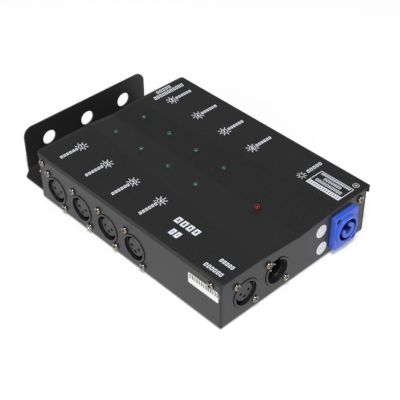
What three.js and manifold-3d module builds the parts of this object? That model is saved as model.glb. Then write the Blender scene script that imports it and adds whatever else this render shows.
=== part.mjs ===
// A lighting-control signal splitter: a folded sheet-metal case with eight output sockets, a thru socket,
// an input socket, a twist-lock power inlet, indicator lights and a hanging bracket.
// Millimetres. X runs across the case, Y from the inlet end (-Y) to the bracket end (+Y), Z up.
// Pieces are placed about the middle of the case, and the whole group is then shifted along Y, so that the
// origin lies on the floor under the middle of the whole outline.

import * as THREE from 'three';
import { mergeVertices } from 'three/addons/utils/BufferGeometryUtils.js';
import Module from 'manifold-3d';

const wasm = await Module();
wasm.setup();

// Fits
const clearance = 0.3;
const overrun = 1;
const mergeGap = 0.0003;

// Roundness of the round forms
const socketSides = 20;
const smallSides = 10;
const holeSides = 8;
const cornerSteps = 3;

// Case
const caseLength = 206;
const caseWidth = 155;
const caseHeight = 44.6;
const traySheet = 1.2;
const trayCornerRadius = 1.5;
const seamWidth = 0.8;
const seamDepth = 0.7;
const bandHeight = 10.4;
const bandProud = 0.2;

// Cover
const coverSheet = 0.9;
const coverOverhang = 2.3;
const coverSideStep = 1.3;
const coverCornerRadius = 3;
const coverBend = 0.5;
const lipHeight = 3.6;
const lipFlare = 0.75;
const valleyFrontWidth = 86;
const valleyFrontDepth = 3.3;
const valleyRearWidth = 48;
const valleyRearDepth = 2.3;
const tabWidth = 5;
const tabDrop = 11;

// Hanging bracket
const bracketSheet = 1.5;
const bracketWidth = 128.8;
const bracketHeight = 41.6;
const bracketReach = 36.7;
const bracketCornerRadius = 8.5;
const bracketHoleRadius = 6.5;
const bracketHoleHeight = 22.7;
const bracketHoleSpacing = 40.1;
const flangeSplay = 8.7;
const flangeOverlapLength = 28;
const flangeHoleRadius = 2.25;
const flangeHoleMargin = 14.1;
const flangeHoleInset = 8.6;
const bracketScrewSpacing = 84;
const bracketScrewInset = 14;

// Rubber strip under the inlet end
const footLength = 118;
const footWidth = 9;
const footInset = 10;
const footCornerRadius = 2;

// Round sockets, all with the same flange and screw spacing
const socketPitch = 31.3;
const socketRearInset = 20.4;
const socketsPerSide = 4;
const sideAxisHeight = 16.9;
const frontAxisHeight = 19.1;
const thruInset = 24.6;
const frontSocketSpacing = 32.1;
const panelHoleRadius = 12.4;
const noseRadius = 11.9;
const noseProud = 0.8;
const noseEdge = 0.35;
const mouthRadius = 10.2;
const grooveDepth = 12;
const coreRadius = 7.8;
const coreRecess = 1.2;
const contactCircle = 4;
const contactRadius = 1.35;
const contactDepth = 8;
const screwSpanAcross = 19;
const screwSpanUp = 24;
const socketFlangeWidth = 26;
const socketFlangeHeight = 30;
const socketFlangeThickness = 2;
const socketFlangeCorner = 2;
const socketBodySize = 22;
const socketDepth = 24;

// Input socket: an open well with three pins and a keyway
const wellRadius = 9.8;
const wellDepth = 14;
const keywayWidth = 5.4;
const keywayDepth = 8;
const pinRadius = 1.2;
const pinTipRecess = 7.3;
const pinTipLength = 0.8;
const pinSeatDepth = 3;

// Power inlet
const inletInset = 27.1;
const inletAxisHeight = 19.4;
const inletWidth = 26.6;
const inletHeight = 31.2;
const inletThickness = 5.3;
const inletCorner = 2.5;
const collarRadius = 12.8;
const collarReach = 8.3;
const collarEdge = 0.8;
const inletMouthRadius = 9.6;
const inletGrooveDepth = 13;
const inletCoreRadius = 6.5;
const inletCoreRecess = 0.7;
const inletBoreRadius = 2.5;
const inletSlotWidth = 3.2;
const inletSlotTurn = 135;
const inletNotchWidth = 4.6;
const inletNotchReach = 11;
const inletNotchDepth = 3;
const inletBodyRadius = 11.4;
const inletBodyDepth = 22;
const inletSinkRadius = 2.6;
const inletSinkDepth = 2.4;

// Fasteners
const screwHoleRadius = 1.7;
const screwRadius = 1.4;
const screwLength = 6;
const screwHeadRadius = 2.8;
const screwHeadHeight = 1.8;
const screwCrownShare = 0.6;
const screwTopShare = 0.45;
const recessWidth = 0.8;
const recessSpan = 3;
const recessDepth = 0.9;
const inletHeadRadius = 2.2;
const inletHeadHeight = 1.4;
const inletScrewLength = 7;
const coverScrewDrop = 8.6;
const coverScrewFrontInset = 9.8;
const coverScrewRearInset = 4.6;
const coverScrewEndInset = 7.5;

// Indicator lights
const lampSpacing = 29.6;
const lampRadius = 1.5;
const lampProud = 2;
const lampLength = 5.3;
const powerLampRadius = 2.5;
const powerLampProud = 3.2;
const powerLampLength = 8.6;
const powerLampInset = 40;
const lampRim = 0.4;
const lampRimHeight = 1;
const lampHoleGap = 0.2;
const leadSize = 0.5;
const leadSpacing = 2.54;
const domeSteps = 3;

// Electronics inside
const boardThickness = 1.6;
const boardSideGap = 9.5;
const boardFrontInset = 28;
const boardRearInset = 6;
const chipLength = 18;
const chipWidth = 10;
const chipHeight = 3;
const chipFrontInset = 62;
const moduleLength = 62;
const moduleWidth = 40;
const moduleHeight = 23;
const moduleFrontInset = 50;
const moduleCorner = 2;
const fuseLength = 24;
const fuseWidth = 9;
const fuseHeight = 6;
const fuseBarrelRadius = 3.2;
const fuseBarrelInset = 1;
const fuseFrontInset = 30;

// Derived places
const trayBottom = bracketSheet;
const trayFloor = trayBottom + traySheet;
const coverTop = trayBottom + caseHeight;
const wallTop = coverTop - coverSheet - clearance;
const bandBottom = wallTop - bandHeight;
const coverLength = caseLength + 2 * coverOverhang;
const coverHalfWidth = caseWidth / 2 + coverSideStep;
const endFace = caseLength / 2;
const sideFace = caseWidth / 2;
const bracketFace = endFace + bracketReach;
const coverScrewHeight = coverTop - coverScrewDrop;
const flangeWidth = bracketWidth + 2 * flangeSplay;
const flangeHoleSpacing = flangeWidth - 2 * flangeHoleMargin;
const thruOffset = thruInset - sideFace;
const inputOffset = thruOffset + frontSocketSpacing;
const inletOffset = sideFace - inletInset;
const frontReach = endFace + collarReach;
const rearReach = bracketFace + bracketSheet;
const socketTop = trayBottom + sideAxisHeight + socketBodySize / 2;
const boardTop = socketTop + boardThickness;
const boardWidth = caseWidth - 2 * (screwLength + boardSideGap);
const panelBack = -traySheet - clearance;
const socketFlangeBack = panelBack - socketFlangeThickness;
const bracketScrewLine = endFace - bracketScrewInset;

// Finishes
const finish = (color, roughness, metalness) => new THREE.MeshStandardMaterial({ color, roughness, metalness });
const trayPaint = finish(0x4a4b4e, 0.55, 0.1);
const coverPaint = finish(0x2c2d2f, 0.65, 0.1);
const bracketPaint = finish(0x1e1f22, 0.5, 0.1);
const socketPlastic = finish(0x3c3d40, 0.5, 0);
const pinMetal = finish(0xd8d6cc, 0.25, 1);
const inletPlastic = finish(0x2f55e0, 0.4, 0);
const screwNickel = finish(0xc9bba4, 0.3, 1);
const screwBlack = finish(0x1c1a1a, 0.45, 0.8);
const greenLens = finish(0x1f8a3c, 0.15, 0);
const redLens = finish(0xc01820, 0.15, 0);
const boardGreen = finish(0x1d4a2c, 0.5, 0);
const chipBlack = finish(0x17181a, 0.5, 0);
const moduleBlack = finish(0x202124, 0.6, 0);
const fuseGrey = finish(0x6a6a66, 0.5, 0);
const footRubber = finish(0x151515, 0.9, 0);

// A closed solid made from a geometry whose shared vertices are merged.
function solid(geometry) {
  const bare = geometry.clone();
  bare.deleteAttribute('normal');
  bare.deleteAttribute('uv');
  const merged = mergeVertices(bare, mergeGap);
  const vertProperties = new Float32Array(merged.attributes.position.array);
  const triVerts = new Uint32Array(merged.index.array);
  return new wasm.Manifold(new wasm.Mesh({ numProp: 3, vertProperties, triVerts }));
}

function geometryOf(body) {
  const mesh = body.getMesh();
  const geometry = new THREE.BufferGeometry();
  geometry.setAttribute('position', new THREE.BufferAttribute(new Float32Array(mesh.vertProperties), 3));
  geometry.setIndex(new THREE.BufferAttribute(new Uint32Array(mesh.triVerts), 1));
  geometry.computeVertexNormals();
  return geometry;
}

function piece(name, body, material) {
  const mesh = new THREE.Mesh(geometryOf(body), material);
  mesh.name = name;
  return mesh;
}

function joined(bodies) {
  return bodies.reduce((whole, body) => whole.add(body));
}

function cut(body, cutters) {
  return cutters.reduce((whole, cutter) => whole.subtract(cutter), body);
}

// A block between two opposite corners.
function block(corner, opposite) {
  const size = opposite.map((value, axis) => Math.abs(value - corner[axis]));
  const middle = opposite.map((value, axis) => (value + corner[axis]) / 2);
  return solid(new THREE.BoxGeometry(...size).translate(...middle));
}

// A round bar along Z from z0 up to z1.
function bar(radius, z0, z1, sides, x = 0, y = 0) {
  const form = new THREE.CylinderGeometry(radius, radius, z1 - z0, sides);
  return solid(form.rotateX(Math.PI / 2).translate(x, y, (z0 + z1) / 2));
}

// A body turned about Z from [radius, height] points that leave the axis low and return to it high.
function turned(profile, sides) {
  const points = profile.map(([radius, height]) => new THREE.Vector2(radius, height));
  return solid(new THREE.LatheGeometry(points, sides).rotateX(Math.PI / 2));
}

// A plate between z0 and z1 with an outline of [x, y] points.
function plate(outline, z0, z1) {
  const shape = new THREE.Shape(outline.map(([x, y]) => new THREE.Vector2(x, y)));
  const form = new THREE.ExtrudeGeometry(shape, { depth: z1 - z0, bevelEnabled: false });
  return solid(form.translate(0, 0, z0));
}

// The outline of a rectangle with round corners, centred on the origin.
function roundedOutline(width, height, radius) {
  const outline = [];
  const corners = [[1, 1], [-1, 1], [-1, -1], [1, -1]];
  corners.forEach(([signX, signY], quarter) => {
    for (let step = 0; step <= cornerSteps; step += 1) {
      const angle = (quarter + step / cornerSteps) * Math.PI / 2;
      const x = signX * (width / 2 - radius) + radius * Math.cos(angle);
      const y = signY * (height / 2 - radius) + radius * Math.sin(angle);
      outline.push([x, y]);
    }
  });
  return outline;
}

// A body built with +Y up and +Z pointing out of a wall, set on that wall.
// The wall is found by quarter turns about Z from the inlet end, and along runs to the right as seen from outside.
function onWall(body, { side, along, height }) {
  const turns = { front: 0, right: 1, rear: 2, left: 3 };
  const reach = turns[side] % 2 === 0 ? endFace : sideFace;
  const facing = new THREE.Matrix4().makeRotationX(Math.PI / 2);
  const place = new THREE.Matrix4().makeTranslation(along, -reach, height);
  const around = new THREE.Matrix4().makeRotationZ(turns[side] * Math.PI / 2);
  return body.transform(around.multiply(place).multiply(facing).elements);
}

function shifted(seat, across, up) {
  return { ...seat, along: seat.along + across, height: seat.height + up };
}

// The cover's valley at a place along the case: its half width and depth.
function valleyAt(y) {
  const rearward = y / coverLength + 1 / 2;
  const half = THREE.MathUtils.lerp(valleyFrontWidth, valleyRearWidth, rearward) / 2;
  const depth = THREE.MathUtils.lerp(valleyFrontDepth, valleyRearDepth, rearward);
  return { half, depth };
}

// How far the cover's upper face lies below its flat sides.
function coverDip(x, y) {
  const { half, depth } = valleyAt(y);
  return depth * Math.max(0, 1 - Math.abs(x) / half);
}

// Distances of the side sockets' axes from the middle of the case, rear one first.
const sidePlaces = Array.from({ length: socketsPerSide }, (_, count) =>
  endFace - socketRearInset - count * socketPitch);

// Seats of the sockets on the walls.
const sideSeats = ['left', 'right'].flatMap((side) => sidePlaces.map((y) => ({
  side,
  along: side === 'left' ? -y : y,
  height: trayBottom + sideAxisHeight,
})));
const thruSeat = { side: 'front', along: thruOffset, height: trayBottom + frontAxisHeight };
const inputSeat = { side: 'front', along: inputOffset, height: trayBottom + frontAxisHeight };
const inletSeat = { side: 'front', along: inletOffset, height: trayBottom + inletAxisHeight };
const roundSeats = [...sideSeats, thruSeat, inputSeat];

// The two screws of every socket and of the inlet, upper left and lower right of the axis.
const flangeScrews = [
  [-screwSpanAcross / 2, screwSpanUp / 2],
  [screwSpanAcross / 2, -screwSpanUp / 2],
];

// Cover screws: two in the left wall, on its proud band, and one near the right end of each end wall.
const coverScrewSeats = [
  { side: 'left', along: endFace - coverScrewFrontInset, height: coverScrewHeight, proud: bandProud },
  { side: 'left', along: -(endFace - coverScrewRearInset), height: coverScrewHeight, proud: bandProud },
  { side: 'front', along: sideFace - coverScrewEndInset, height: coverScrewHeight, proud: 0 },
  { side: 'rear', along: -(sideFace - coverScrewEndInset), height: coverScrewHeight, proud: 0 },
];

const bracketScrewPlaces = [-bracketScrewSpacing / 2, bracketScrewSpacing / 2];

// Lights: one beside each side socket, and the power light on the crease.
const outputLamps = [-1, 1].flatMap((sign) => sidePlaces.map((y) => ({
  x: sign * lampSpacing / 2,
  y,
  radius: lampRadius,
  proud: lampProud,
  length: lampLength,
})));
const powerLamp = {
  x: 0,
  y: -endFace + powerLampInset,
  radius: powerLampRadius,
  proud: powerLampProud,
  length: powerLampLength,
};

// Tray: floor, long walls with a slightly proud band along the top, and end walls that follow the cover.
function trayShell() {
  const inner = sideFace - traySheet;
  const floor = block([-sideFace, -endFace, trayBottom], [sideFace, endFace, trayFloor]);
  const longWalls = [-1, 1].map((sign) =>
    block([sign * inner, -endFace, trayBottom], [sign * sideFace, endFace, wallTop]));
  const endWalls = [-1, 1].map(trayEndWall);
  const rounded = plate(roundedOutline(caseWidth, caseLength, trayCornerRadius), trayBottom, wallTop);
  return joined([floor, ...longWalls, ...endWalls]).intersect(rounded);
}

function trayEndWall(sign) {
  const { half, depth } = valleyAt(sign * endFace);
  const outline = [
    [-sideFace, trayBottom],
    [sideFace, trayBottom],
    [sideFace, wallTop],
    [half, wallTop],
    [0, wallTop - depth],
    [-half, wallTop],
    [-sideFace, wallTop],
  ];
  const start = sign > 0 ? -endFace : endFace - traySheet;
  const upright = new THREE.Matrix4().makeRotationX(Math.PI / 2);
  return plate(outline, start, start + traySheet).transform(upright.elements);
}

function trayBands() {
  const end = endFace - trayCornerRadius - seamWidth;
  return [-1, 1].map((sign) => block(
    [sign * (sideFace - traySheet), -end, bandBottom],
    [sign * (sideFace + bandProud), end, wallTop],
  ));
}

function trayHoles() {
  const back = panelBack - overrun;
  const socketHole = bar(panelHoleRadius, back, overrun, socketSides);
  const inletHole = bar(inletBodyRadius + clearance, back, overrun, socketSides);
  const screwHole = bar(screwHoleRadius, back, overrun, holeSides);
  const flangeScrewHoles = [...roundSeats, inletSeat].flatMap((seat) =>
    flangeScrews.map(([across, up]) => onWall(screwHole, shifted(seat, across, up))));
  const floorHoles = bracketScrewPlaces.map((x) =>
    bar(screwHoleRadius, trayBottom - overrun, trayFloor + overrun, holeSides, x, bracketScrewLine));
  return [
    ...roundSeats.map((seat) => onWall(socketHole, seat)),
    onWall(inletHole, inletSeat),
    ...flangeScrewHoles,
    ...coverScrewSeats.map((seat) => onWall(screwHole, seat)),
    ...floorHoles,
  ];
}

// The folded corners: a groove down each long wall where its end meets the end wall's rounded fold.
function traySeams() {
  const foldStart = endFace - trayCornerRadius;
  return [-1, 1].flatMap((signX) => [-1, 1].map((signY) => block(
    [signX * (sideFace - seamDepth), signY * (foldStart - seamWidth), trayFloor],
    [signX * (sideFace + overrun), signY * foldStart, wallTop + overrun],
  )));
}

function baseTray() {
  return cut(joined([trayShell(), ...trayBands()]), [...trayHoles(), ...traySeams()]);
}

// The cover's cross-section at the inlet end: a thin sheet with a valley and a flared lip on each side.
function coverSection() {
  const half = valleyFrontWidth / 2;
  const lipEdge = coverHalfWidth + lipFlare;
  const underside = coverTop - coverSheet;
  return [
    [-lipEdge, coverTop - lipHeight],
    [-(lipEdge - coverSheet), coverTop - lipHeight],
    [-(coverHalfWidth - coverSheet), underside],
    [-half, underside],
    [0, underside - valleyFrontDepth],
    [half, underside],
    [coverHalfWidth - coverSheet, underside],
    [lipEdge - coverSheet, coverTop - lipHeight],
    [lipEdge, coverTop - lipHeight],
    [coverHalfWidth, coverTop - coverBend],
    [coverHalfWidth - coverBend, coverTop],
    [half, coverTop],
    [0, coverTop - valleyFrontDepth],
    [-half, coverTop],
    [-(coverHalfWidth - coverBend), coverTop],
    [-coverHalfWidth, coverTop - coverBend],
  ];
}

// The cover's sheet: the section drawn from the inlet end to the bracket end while its valley narrows.
function coverForm() {
  const shape = new THREE.Shape(coverSection().map(([x, z]) => new THREE.Vector2(x, z)));
  const form = new THREE.ExtrudeGeometry(shape, { depth: coverLength, bevelEnabled: false });
  form.rotateX(Math.PI / 2).translate(0, coverLength / 2, 0);
  const front = valleyAt(-coverLength / 2);
  const points = form.attributes.position;
  for (let index = 0; index < points.count; index += 1) {
    const across = Math.abs(points.getX(index));
    if (across < front.half + overrun) {
      const here = valleyAt(points.getY(index));
      const rise = (1 - across / front.half) * (front.depth - here.depth);
      points.setX(index, points.getX(index) * here.half / front.half);
      points.setZ(index, points.getZ(index) + rise);
    }
  }
  return solid(form);
}

// Tabs that hang from the cover behind the walls and take the cover screws.
function coverTabs() {
  const tab = block([-tabWidth / 2, -tabDrop, panelBack - coverSheet], [tabWidth / 2, coverSheet / 2, panelBack]);
  return coverScrewSeats.map((seat) => onWall(tab, { ...seat, height: coverTop - coverSheet }));
}

function topCover() {
  const outerWidth = 2 * (coverHalfWidth + lipFlare);
  const trim = plate(roundedOutline(outerWidth, coverLength, coverCornerRadius), trayBottom, coverTop + overrun);
  const lampHoles = [...outputLamps, powerLamp].map(({ x, y, radius }) =>
    bar(radius + lampHoleGap, boardTop, coverTop + overrun, smallSides, x, y));
  const tabHole = bar(screwHoleRadius, panelBack - coverSheet - overrun, overrun, holeSides);
  const tabHoles = coverScrewSeats.map((seat) => onWall(tabHole, seat));
  return cut(joined([coverForm().intersect(trim), ...coverTabs()]), [...lampHoles, ...tabHoles]);
}

// Hanging bracket: an upright plate with three holes over a flange that runs in under the case.
function bracketFlange() {
  const start = endFace - flangeOverlapLength;
  const halfFlange = flangeWidth / 2;
  const halfPlate = bracketWidth / 2;
  return plate([
    [-halfFlange, start],
    [halfFlange, start],
    [halfFlange, bracketFace - flangeSplay],
    [halfPlate, bracketFace],
    [-halfPlate, bracketFace],
    [-halfFlange, bracketFace - flangeSplay],
  ], 0, bracketSheet);
}

function bracketUpright() {
  const upright = new THREE.Matrix4().makeRotationX(Math.PI / 2);
  const height = bracketHeight + bracketCornerRadius;
  const rounded = plate(roundedOutline(bracketWidth, height, bracketCornerRadius), -rearReach, -bracketFace)
    .translate([0, bracketHeight - height / 2, 0]);
  const below = block([-bracketWidth, -height, -rearReach - overrun], [bracketWidth, bracketSheet, overrun]);
  const holes = [-1, 0, 1].map((count) => bar(bracketHoleRadius, -rearReach - overrun, -bracketFace + overrun,
    socketSides, count * bracketHoleSpacing, bracketHoleHeight));
  return cut(rounded, [below, ...holes]).transform(upright.elements);
}

// The fold between flange and upright, a quarter of a round bar with the sheet's thickness as its radius.
function bracketFold() {
  const along = new THREE.Matrix4().makeRotationY(Math.PI / 2);
  const round = bar(bracketSheet, -bracketWidth / 2, bracketWidth / 2, smallSides)
    .transform(along.elements)
    .translate([0, bracketFace, bracketSheet]);
  const quarter = block([-bracketWidth, bracketFace, 0], [bracketWidth, rearReach, bracketSheet]);
  return round.intersect(quarter);
}

function mountingBracket() {
  const flangeHoles = [-1, 1].map((sign) => bar(flangeHoleRadius, -overrun, bracketSheet + overrun, smallSides,
    sign * flangeHoleSpacing / 2, bracketFace - flangeHoleInset));
  const screwHoles = bracketScrewPlaces.map((x) =>
    bar(screwHoleRadius, -overrun, bracketSheet + overrun, holeSides, x, bracketScrewLine));
  return cut(joined([bracketFlange(), bracketUpright(), bracketFold()]), [...flangeHoles, ...screwHoles]);
}

function frontFoot() {
  const middle = -endFace + footInset + footWidth / 2;
  return plate(roundedOutline(footLength, footWidth, footCornerRadius), 0, bracketSheet).translate([0, middle, 0]);
}

// The common part of every round socket: a nose through the wall, a screw flange and a square body behind it.
function socketBlank() {
  const nose = turned([
    [0, socketFlangeBack],
    [noseRadius, socketFlangeBack],
    [noseRadius, noseProud - noseEdge],
    [noseRadius - noseEdge, noseProud],
    [0, noseProud],
  ], socketSides);
  const flange = plate(
    roundedOutline(socketFlangeWidth, socketFlangeHeight, socketFlangeCorner), socketFlangeBack, panelBack);
  const body = plate(
    roundedOutline(socketBodySize, socketBodySize, socketFlangeCorner), -socketDepth, socketFlangeBack);
  const holes = flangeScrews.map(([x, y]) =>
    bar(screwHoleRadius, -screwLength - clearance, overrun, holeSides, x, y));
  return cut(joined([nose, flange, body]), holes);
}

// The places of the three contacts about a socket's axis.
const contactPlaces = [[contactCircle, 0], [-contactCircle, 0], [0, -contactCircle]];

// Female socket: a deep ring-shaped groove round a core with three contact holes.
function femaleSocket() {
  const groove = turned([
    [0, -coreRecess],
    [coreRadius, -coreRecess],
    [coreRadius, -grooveDepth],
    [mouthRadius, -grooveDepth],
    [mouthRadius, noseProud - noseEdge],
    [mouthRadius + noseEdge, noseProud],
    [mouthRadius + noseEdge, noseProud + overrun],
    [0, noseProud + overrun],
  ], socketSides);
  const contacts = contactPlaces.map(([x, y]) =>
    bar(contactRadius, -coreRecess - contactDepth, overrun, holeSides, x, y));
  return cut(socketBlank(), [groove, ...contacts]);
}

// Male socket: an open well with a keyway at the top and seats for its pins.
function maleSocket() {
  const well = turned([
    [0, -wellDepth],
    [wellRadius, -wellDepth],
    [wellRadius, noseProud - noseEdge],
    [wellRadius + noseEdge, noseProud],
    [wellRadius + noseEdge, noseProud + overrun],
    [0, noseProud + overrun],
  ], socketSides);
  const keyway = block([-keywayWidth / 2, 0, -keywayDepth], [keywayWidth / 2, noseRadius + overrun, overrun]);
  const insideWall = bar(noseRadius + overrun, socketFlangeBack - overrun, overrun, socketSides);
  const seats = contactPlaces.map(([x, y]) =>
    bar(pinRadius + clearance, -wellDepth - pinSeatDepth - clearance, overrun, holeSides, x, y));
  return cut(socketBlank(), [well, keyway.intersect(insideWall), ...seats]);
}

// A contact pin with a tapered tip, seated in the floor of the well.
function inputPin([x, y]) {
  const pin = turned([
    [0, -wellDepth - pinSeatDepth],
    [pinRadius, -wellDepth - pinSeatDepth],
    [pinRadius, -pinTipRecess - pinTipLength],
    [pinRadius / 2, -pinTipRecess],
    [0, -pinTipRecess],
  ], smallSides);
  return onWall(pin.translate([x, y, 0]), inputSeat);
}

// Power inlet: a square flange and round collar before the wall, with a split core in a ring-shaped groove.
function inletBlank() {
  const flange = plate(roundedOutline(inletWidth, inletHeight, inletCorner), 0, inletThickness);
  const barrel = turned([
    [0, -inletBodyDepth],
    [inletBodyRadius, -inletBodyDepth],
    [inletBodyRadius, 0],
    [collarRadius, 0],
    [collarRadius, collarReach - collarEdge],
    [collarRadius - collarEdge, collarReach],
    [0, collarReach],
  ], socketSides);
  return joined([flange, barrel]);
}

function powerInlet() {
  const coreFace = collarReach - inletCoreRecess;
  const grooveFloor = collarReach - inletGrooveDepth;
  const groove = turned([
    [0, coreFace],
    [inletCoreRadius, coreFace],
    [inletCoreRadius, grooveFloor],
    [inletMouthRadius, grooveFloor],
    [inletMouthRadius, collarReach + overrun],
    [0, collarReach + overrun],
  ], socketSides);
  const bore = bar(inletBoreRadius, grooveFloor, collarReach + overrun, smallSides);
  const slot = block(
    [0, -inletSlotWidth / 2, grooveFloor],
    [inletCoreRadius + clearance, inletSlotWidth / 2, collarReach + overrun],
  ).rotate([0, 0, inletSlotTurn]);
  const notches = [-1, 1].map((sign) => block(
    [-inletNotchWidth / 2, 0, collarReach - inletNotchDepth],
    [inletNotchWidth / 2, sign * inletNotchReach, collarReach + overrun],
  ));
  const ringOnly = bar(inletCoreRadius + clearance, grooveFloor, collarReach + overrun, socketSides);
  const ringNotches = notches.map((notch) => notch.subtract(ringOnly));
  const screwWays = flangeScrews.flatMap(([x, y]) => [
    bar(screwHoleRadius, -overrun, inletThickness + overrun, holeSides, x, y),
    bar(inletSinkRadius, inletThickness - inletSinkDepth, collarReach + overrun, smallSides, x, y),
  ]);
  return cut(inletBlank(), [groove, bore, slot, ...ringNotches, ...screwWays]);
}

// A pan-head screw along Z with its head's seat at zero and a cross recess.
function screw(headRadius, headHeight, length) {
  const form = turned([
    [0, -length],
    [screwRadius, -length],
    [screwRadius, 0],
    [headRadius, 0],
    [headRadius, headHeight * screwTopShare],
    [headRadius * screwCrownShare, headHeight],
    [0, headHeight],
  ], smallSides);
  const arms = [[recessSpan, recessWidth], [recessWidth, recessSpan]].map(([width, height]) => block(
    [-width / 2, -height / 2, headHeight - recessDepth],
    [width / 2, height / 2, headHeight + overrun],
  ));
  return cut(form, arms);
}

function panScrew() {
  return screw(screwHeadRadius, screwHeadHeight, screwLength);
}

function socketScrews() {
  const places = roundSeats.flatMap((seat) => flangeScrews.map(([across, up]) => shifted(seat, across, up)));
  return places.map((seat, index) => piece(`socket_screw_${index + 1}`, onWall(panScrew(), seat), screwNickel));
}

function coverScrews() {
  return coverScrewSeats.map((seat, index) => {
    const body = onWall(panScrew().translate([0, 0, seat.proud]), seat);
    return piece(`cover_screw_${index + 1}`, body, screwNickel);
  });
}

function inletScrews() {
  const seatHeight = inletThickness - inletSinkDepth;
  return flangeScrews.map(([across, up], index) => {
    const body = screw(inletHeadRadius, inletHeadHeight, inletScrewLength).translate([0, 0, seatHeight]);
    return piece(`inlet_screw_${index + 1}`, onWall(body, shifted(inletSeat, across, up)), screwBlack);
  });
}

// Screws from inside the tray down through its floor into the bracket, ending just above its underside.
function bracketScrews() {
  return bracketScrewPlaces.map((x, index) => {
    const body = screw(screwHeadRadius, screwHeadHeight, trayFloor - clearance);
    return piece(`bracket_screw_${index + 1}`, body.translate([x, bracketScrewLine, trayFloor]), screwNickel);
  });
}

// A light with a domed lens, a rim and two leads that reach down to the board.
function lamp({ x, y, radius, proud, length }) {
  const tip = coverTop - coverDip(x, y) + proud;
  const base = tip - length;
  const profile = [
    [0, base],
    [radius + lampRim, base],
    [radius + lampRim, base + lampRimHeight],
    [radius, base + lampRimHeight],
  ];
  for (let step = 0; step <= domeSteps; step += 1) {
    const angle = step / domeSteps * Math.PI / 2;
    profile.push([radius * Math.cos(angle), tip - radius + radius * Math.sin(angle)]);
  }
  const lens = turned(profile.slice(0, -1).concat([[0, tip]]), smallSides);
  const leads = [-1, 1].map((sign) => block(
    [sign * leadSpacing / 2 - leadSize / 2, -leadSize / 2, boardTop],
    [sign * leadSpacing / 2 + leadSize / 2, leadSize / 2, base + lampRimHeight / 2],
  ));
  return joined([lens, ...leads]).translate([x, y, 0]);
}

// Board on the backs of the side sockets, with the signal chip on it.
function mainBoard() {
  return block(
    [-boardWidth / 2, -endFace + boardFrontInset, socketTop],
    [boardWidth / 2, endFace - boardRearInset, boardTop],
  );
}

function signalChip() {
  const start = -endFace + chipFrontInset;
  return block([-chipWidth / 2, start, boardTop], [chipWidth / 2, start + chipLength, boardTop + chipHeight]);
}

// Power supply potted in a closed case on the tray floor.
function powerModule() {
  const middle = -endFace + moduleFrontInset + moduleLength / 2;
  const outline = roundedOutline(moduleWidth, moduleLength, moduleCorner);
  return plate(outline, trayFloor, trayFloor + moduleHeight).translate([0, middle, 0]);
}

// Fuse holder behind the inlet: a low block with a round barrel lying half sunk along its top.
function fuseHolder() {
  const start = -endFace + fuseFrontInset;
  const base = block(
    [inletOffset - fuseWidth / 2, start, trayFloor],
    [inletOffset + fuseWidth / 2, start + fuseLength, trayFloor + fuseHeight],
  );
  const lying = new THREE.Matrix4().makeRotationX(-Math.PI / 2);
  const barrel = bar(fuseBarrelRadius, 0, fuseLength - 2 * fuseBarrelInset, smallSides)
    .transform(lying.elements)
    .translate([inletOffset, start + fuseBarrelInset, trayFloor + fuseHeight]);
  return joined([base, barrel]);
}

const splitter = new THREE.Group();
splitter.position.y = (frontReach - rearReach) / 2;
splitter.add(piece('base_tray', baseTray(), trayPaint));
splitter.add(piece('top_cover', topCover(), coverPaint));
splitter.add(piece('mounting_bracket', mountingBracket(), bracketPaint));
splitter.add(piece('front_foot', frontFoot(), footRubber));
sideSeats.forEach((seat, index) =>
  splitter.add(piece(`output_socket_${index + 1}`, onWall(femaleSocket(), seat), socketPlastic)));
splitter.add(piece('thru_socket', onWall(femaleSocket(), thruSeat), socketPlastic));
splitter.add(piece('input_socket', onWall(maleSocket(), inputSeat), socketPlastic));
contactPlaces.forEach((place, index) =>
  splitter.add(piece(`input_pin_${index + 1}`, inputPin(place), pinMetal)));
splitter.add(piece('power_inlet', onWall(powerInlet(), inletSeat), inletPlastic));
outputLamps.forEach((place, index) =>
  splitter.add(piece(`output_lamp_${index + 1}`, lamp(place), greenLens)));
splitter.add(piece('power_lamp', lamp(powerLamp), redLens));
splitter.add(...socketScrews(), ...coverScrews(), ...inletScrews(), ...bracketScrews());
splitter.add(piece('main_board', mainBoard(), boardGreen));
splitter.add(piece('signal_chip', signalChip(), chipBlack));
splitter.add(piece('power_module', powerModule(), moduleBlack));
splitter.add(piece('fuse_holder', fuseHolder(), fuseGrey));

export default splitter;
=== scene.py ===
"""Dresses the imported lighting-control splitter: painted sheet, moulded sockets, screws, lights and print.

Lengths in the classes are millimetres in the frame's own axes: X across the case, Y from the inlet end to the
bracket end, Z up, with the origin on the floor under the middle of the outline. Meshes are made in metres.
"""

import logging
import math
from dataclasses import dataclass
from enum import Enum
from typing import Callable, Sequence

import bpy
import numpy as np
from mathutils import Matrix, Vector


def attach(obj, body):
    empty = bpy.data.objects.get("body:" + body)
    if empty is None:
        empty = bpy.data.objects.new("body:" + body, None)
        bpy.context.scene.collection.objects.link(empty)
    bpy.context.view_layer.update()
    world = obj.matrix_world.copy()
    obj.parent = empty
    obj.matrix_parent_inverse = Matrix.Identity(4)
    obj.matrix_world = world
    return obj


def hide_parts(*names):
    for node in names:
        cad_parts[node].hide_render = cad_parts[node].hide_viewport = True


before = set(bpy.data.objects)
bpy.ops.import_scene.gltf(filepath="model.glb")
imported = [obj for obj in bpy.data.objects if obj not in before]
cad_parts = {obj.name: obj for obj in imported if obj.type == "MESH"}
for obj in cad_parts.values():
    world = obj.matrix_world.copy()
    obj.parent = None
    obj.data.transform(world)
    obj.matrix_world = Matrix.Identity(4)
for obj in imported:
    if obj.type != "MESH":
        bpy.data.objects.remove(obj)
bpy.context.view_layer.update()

Pair = tuple[float, float]
Triple = tuple[float, float, float]
Table = tuple[tuple[float, ...], ...]

MM = 0.001
BODY = "root"
# How far leaning figures and boxes lean to the right, of their height.
LEAN = 0.25
log = logging.getLogger("splitter")


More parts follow.
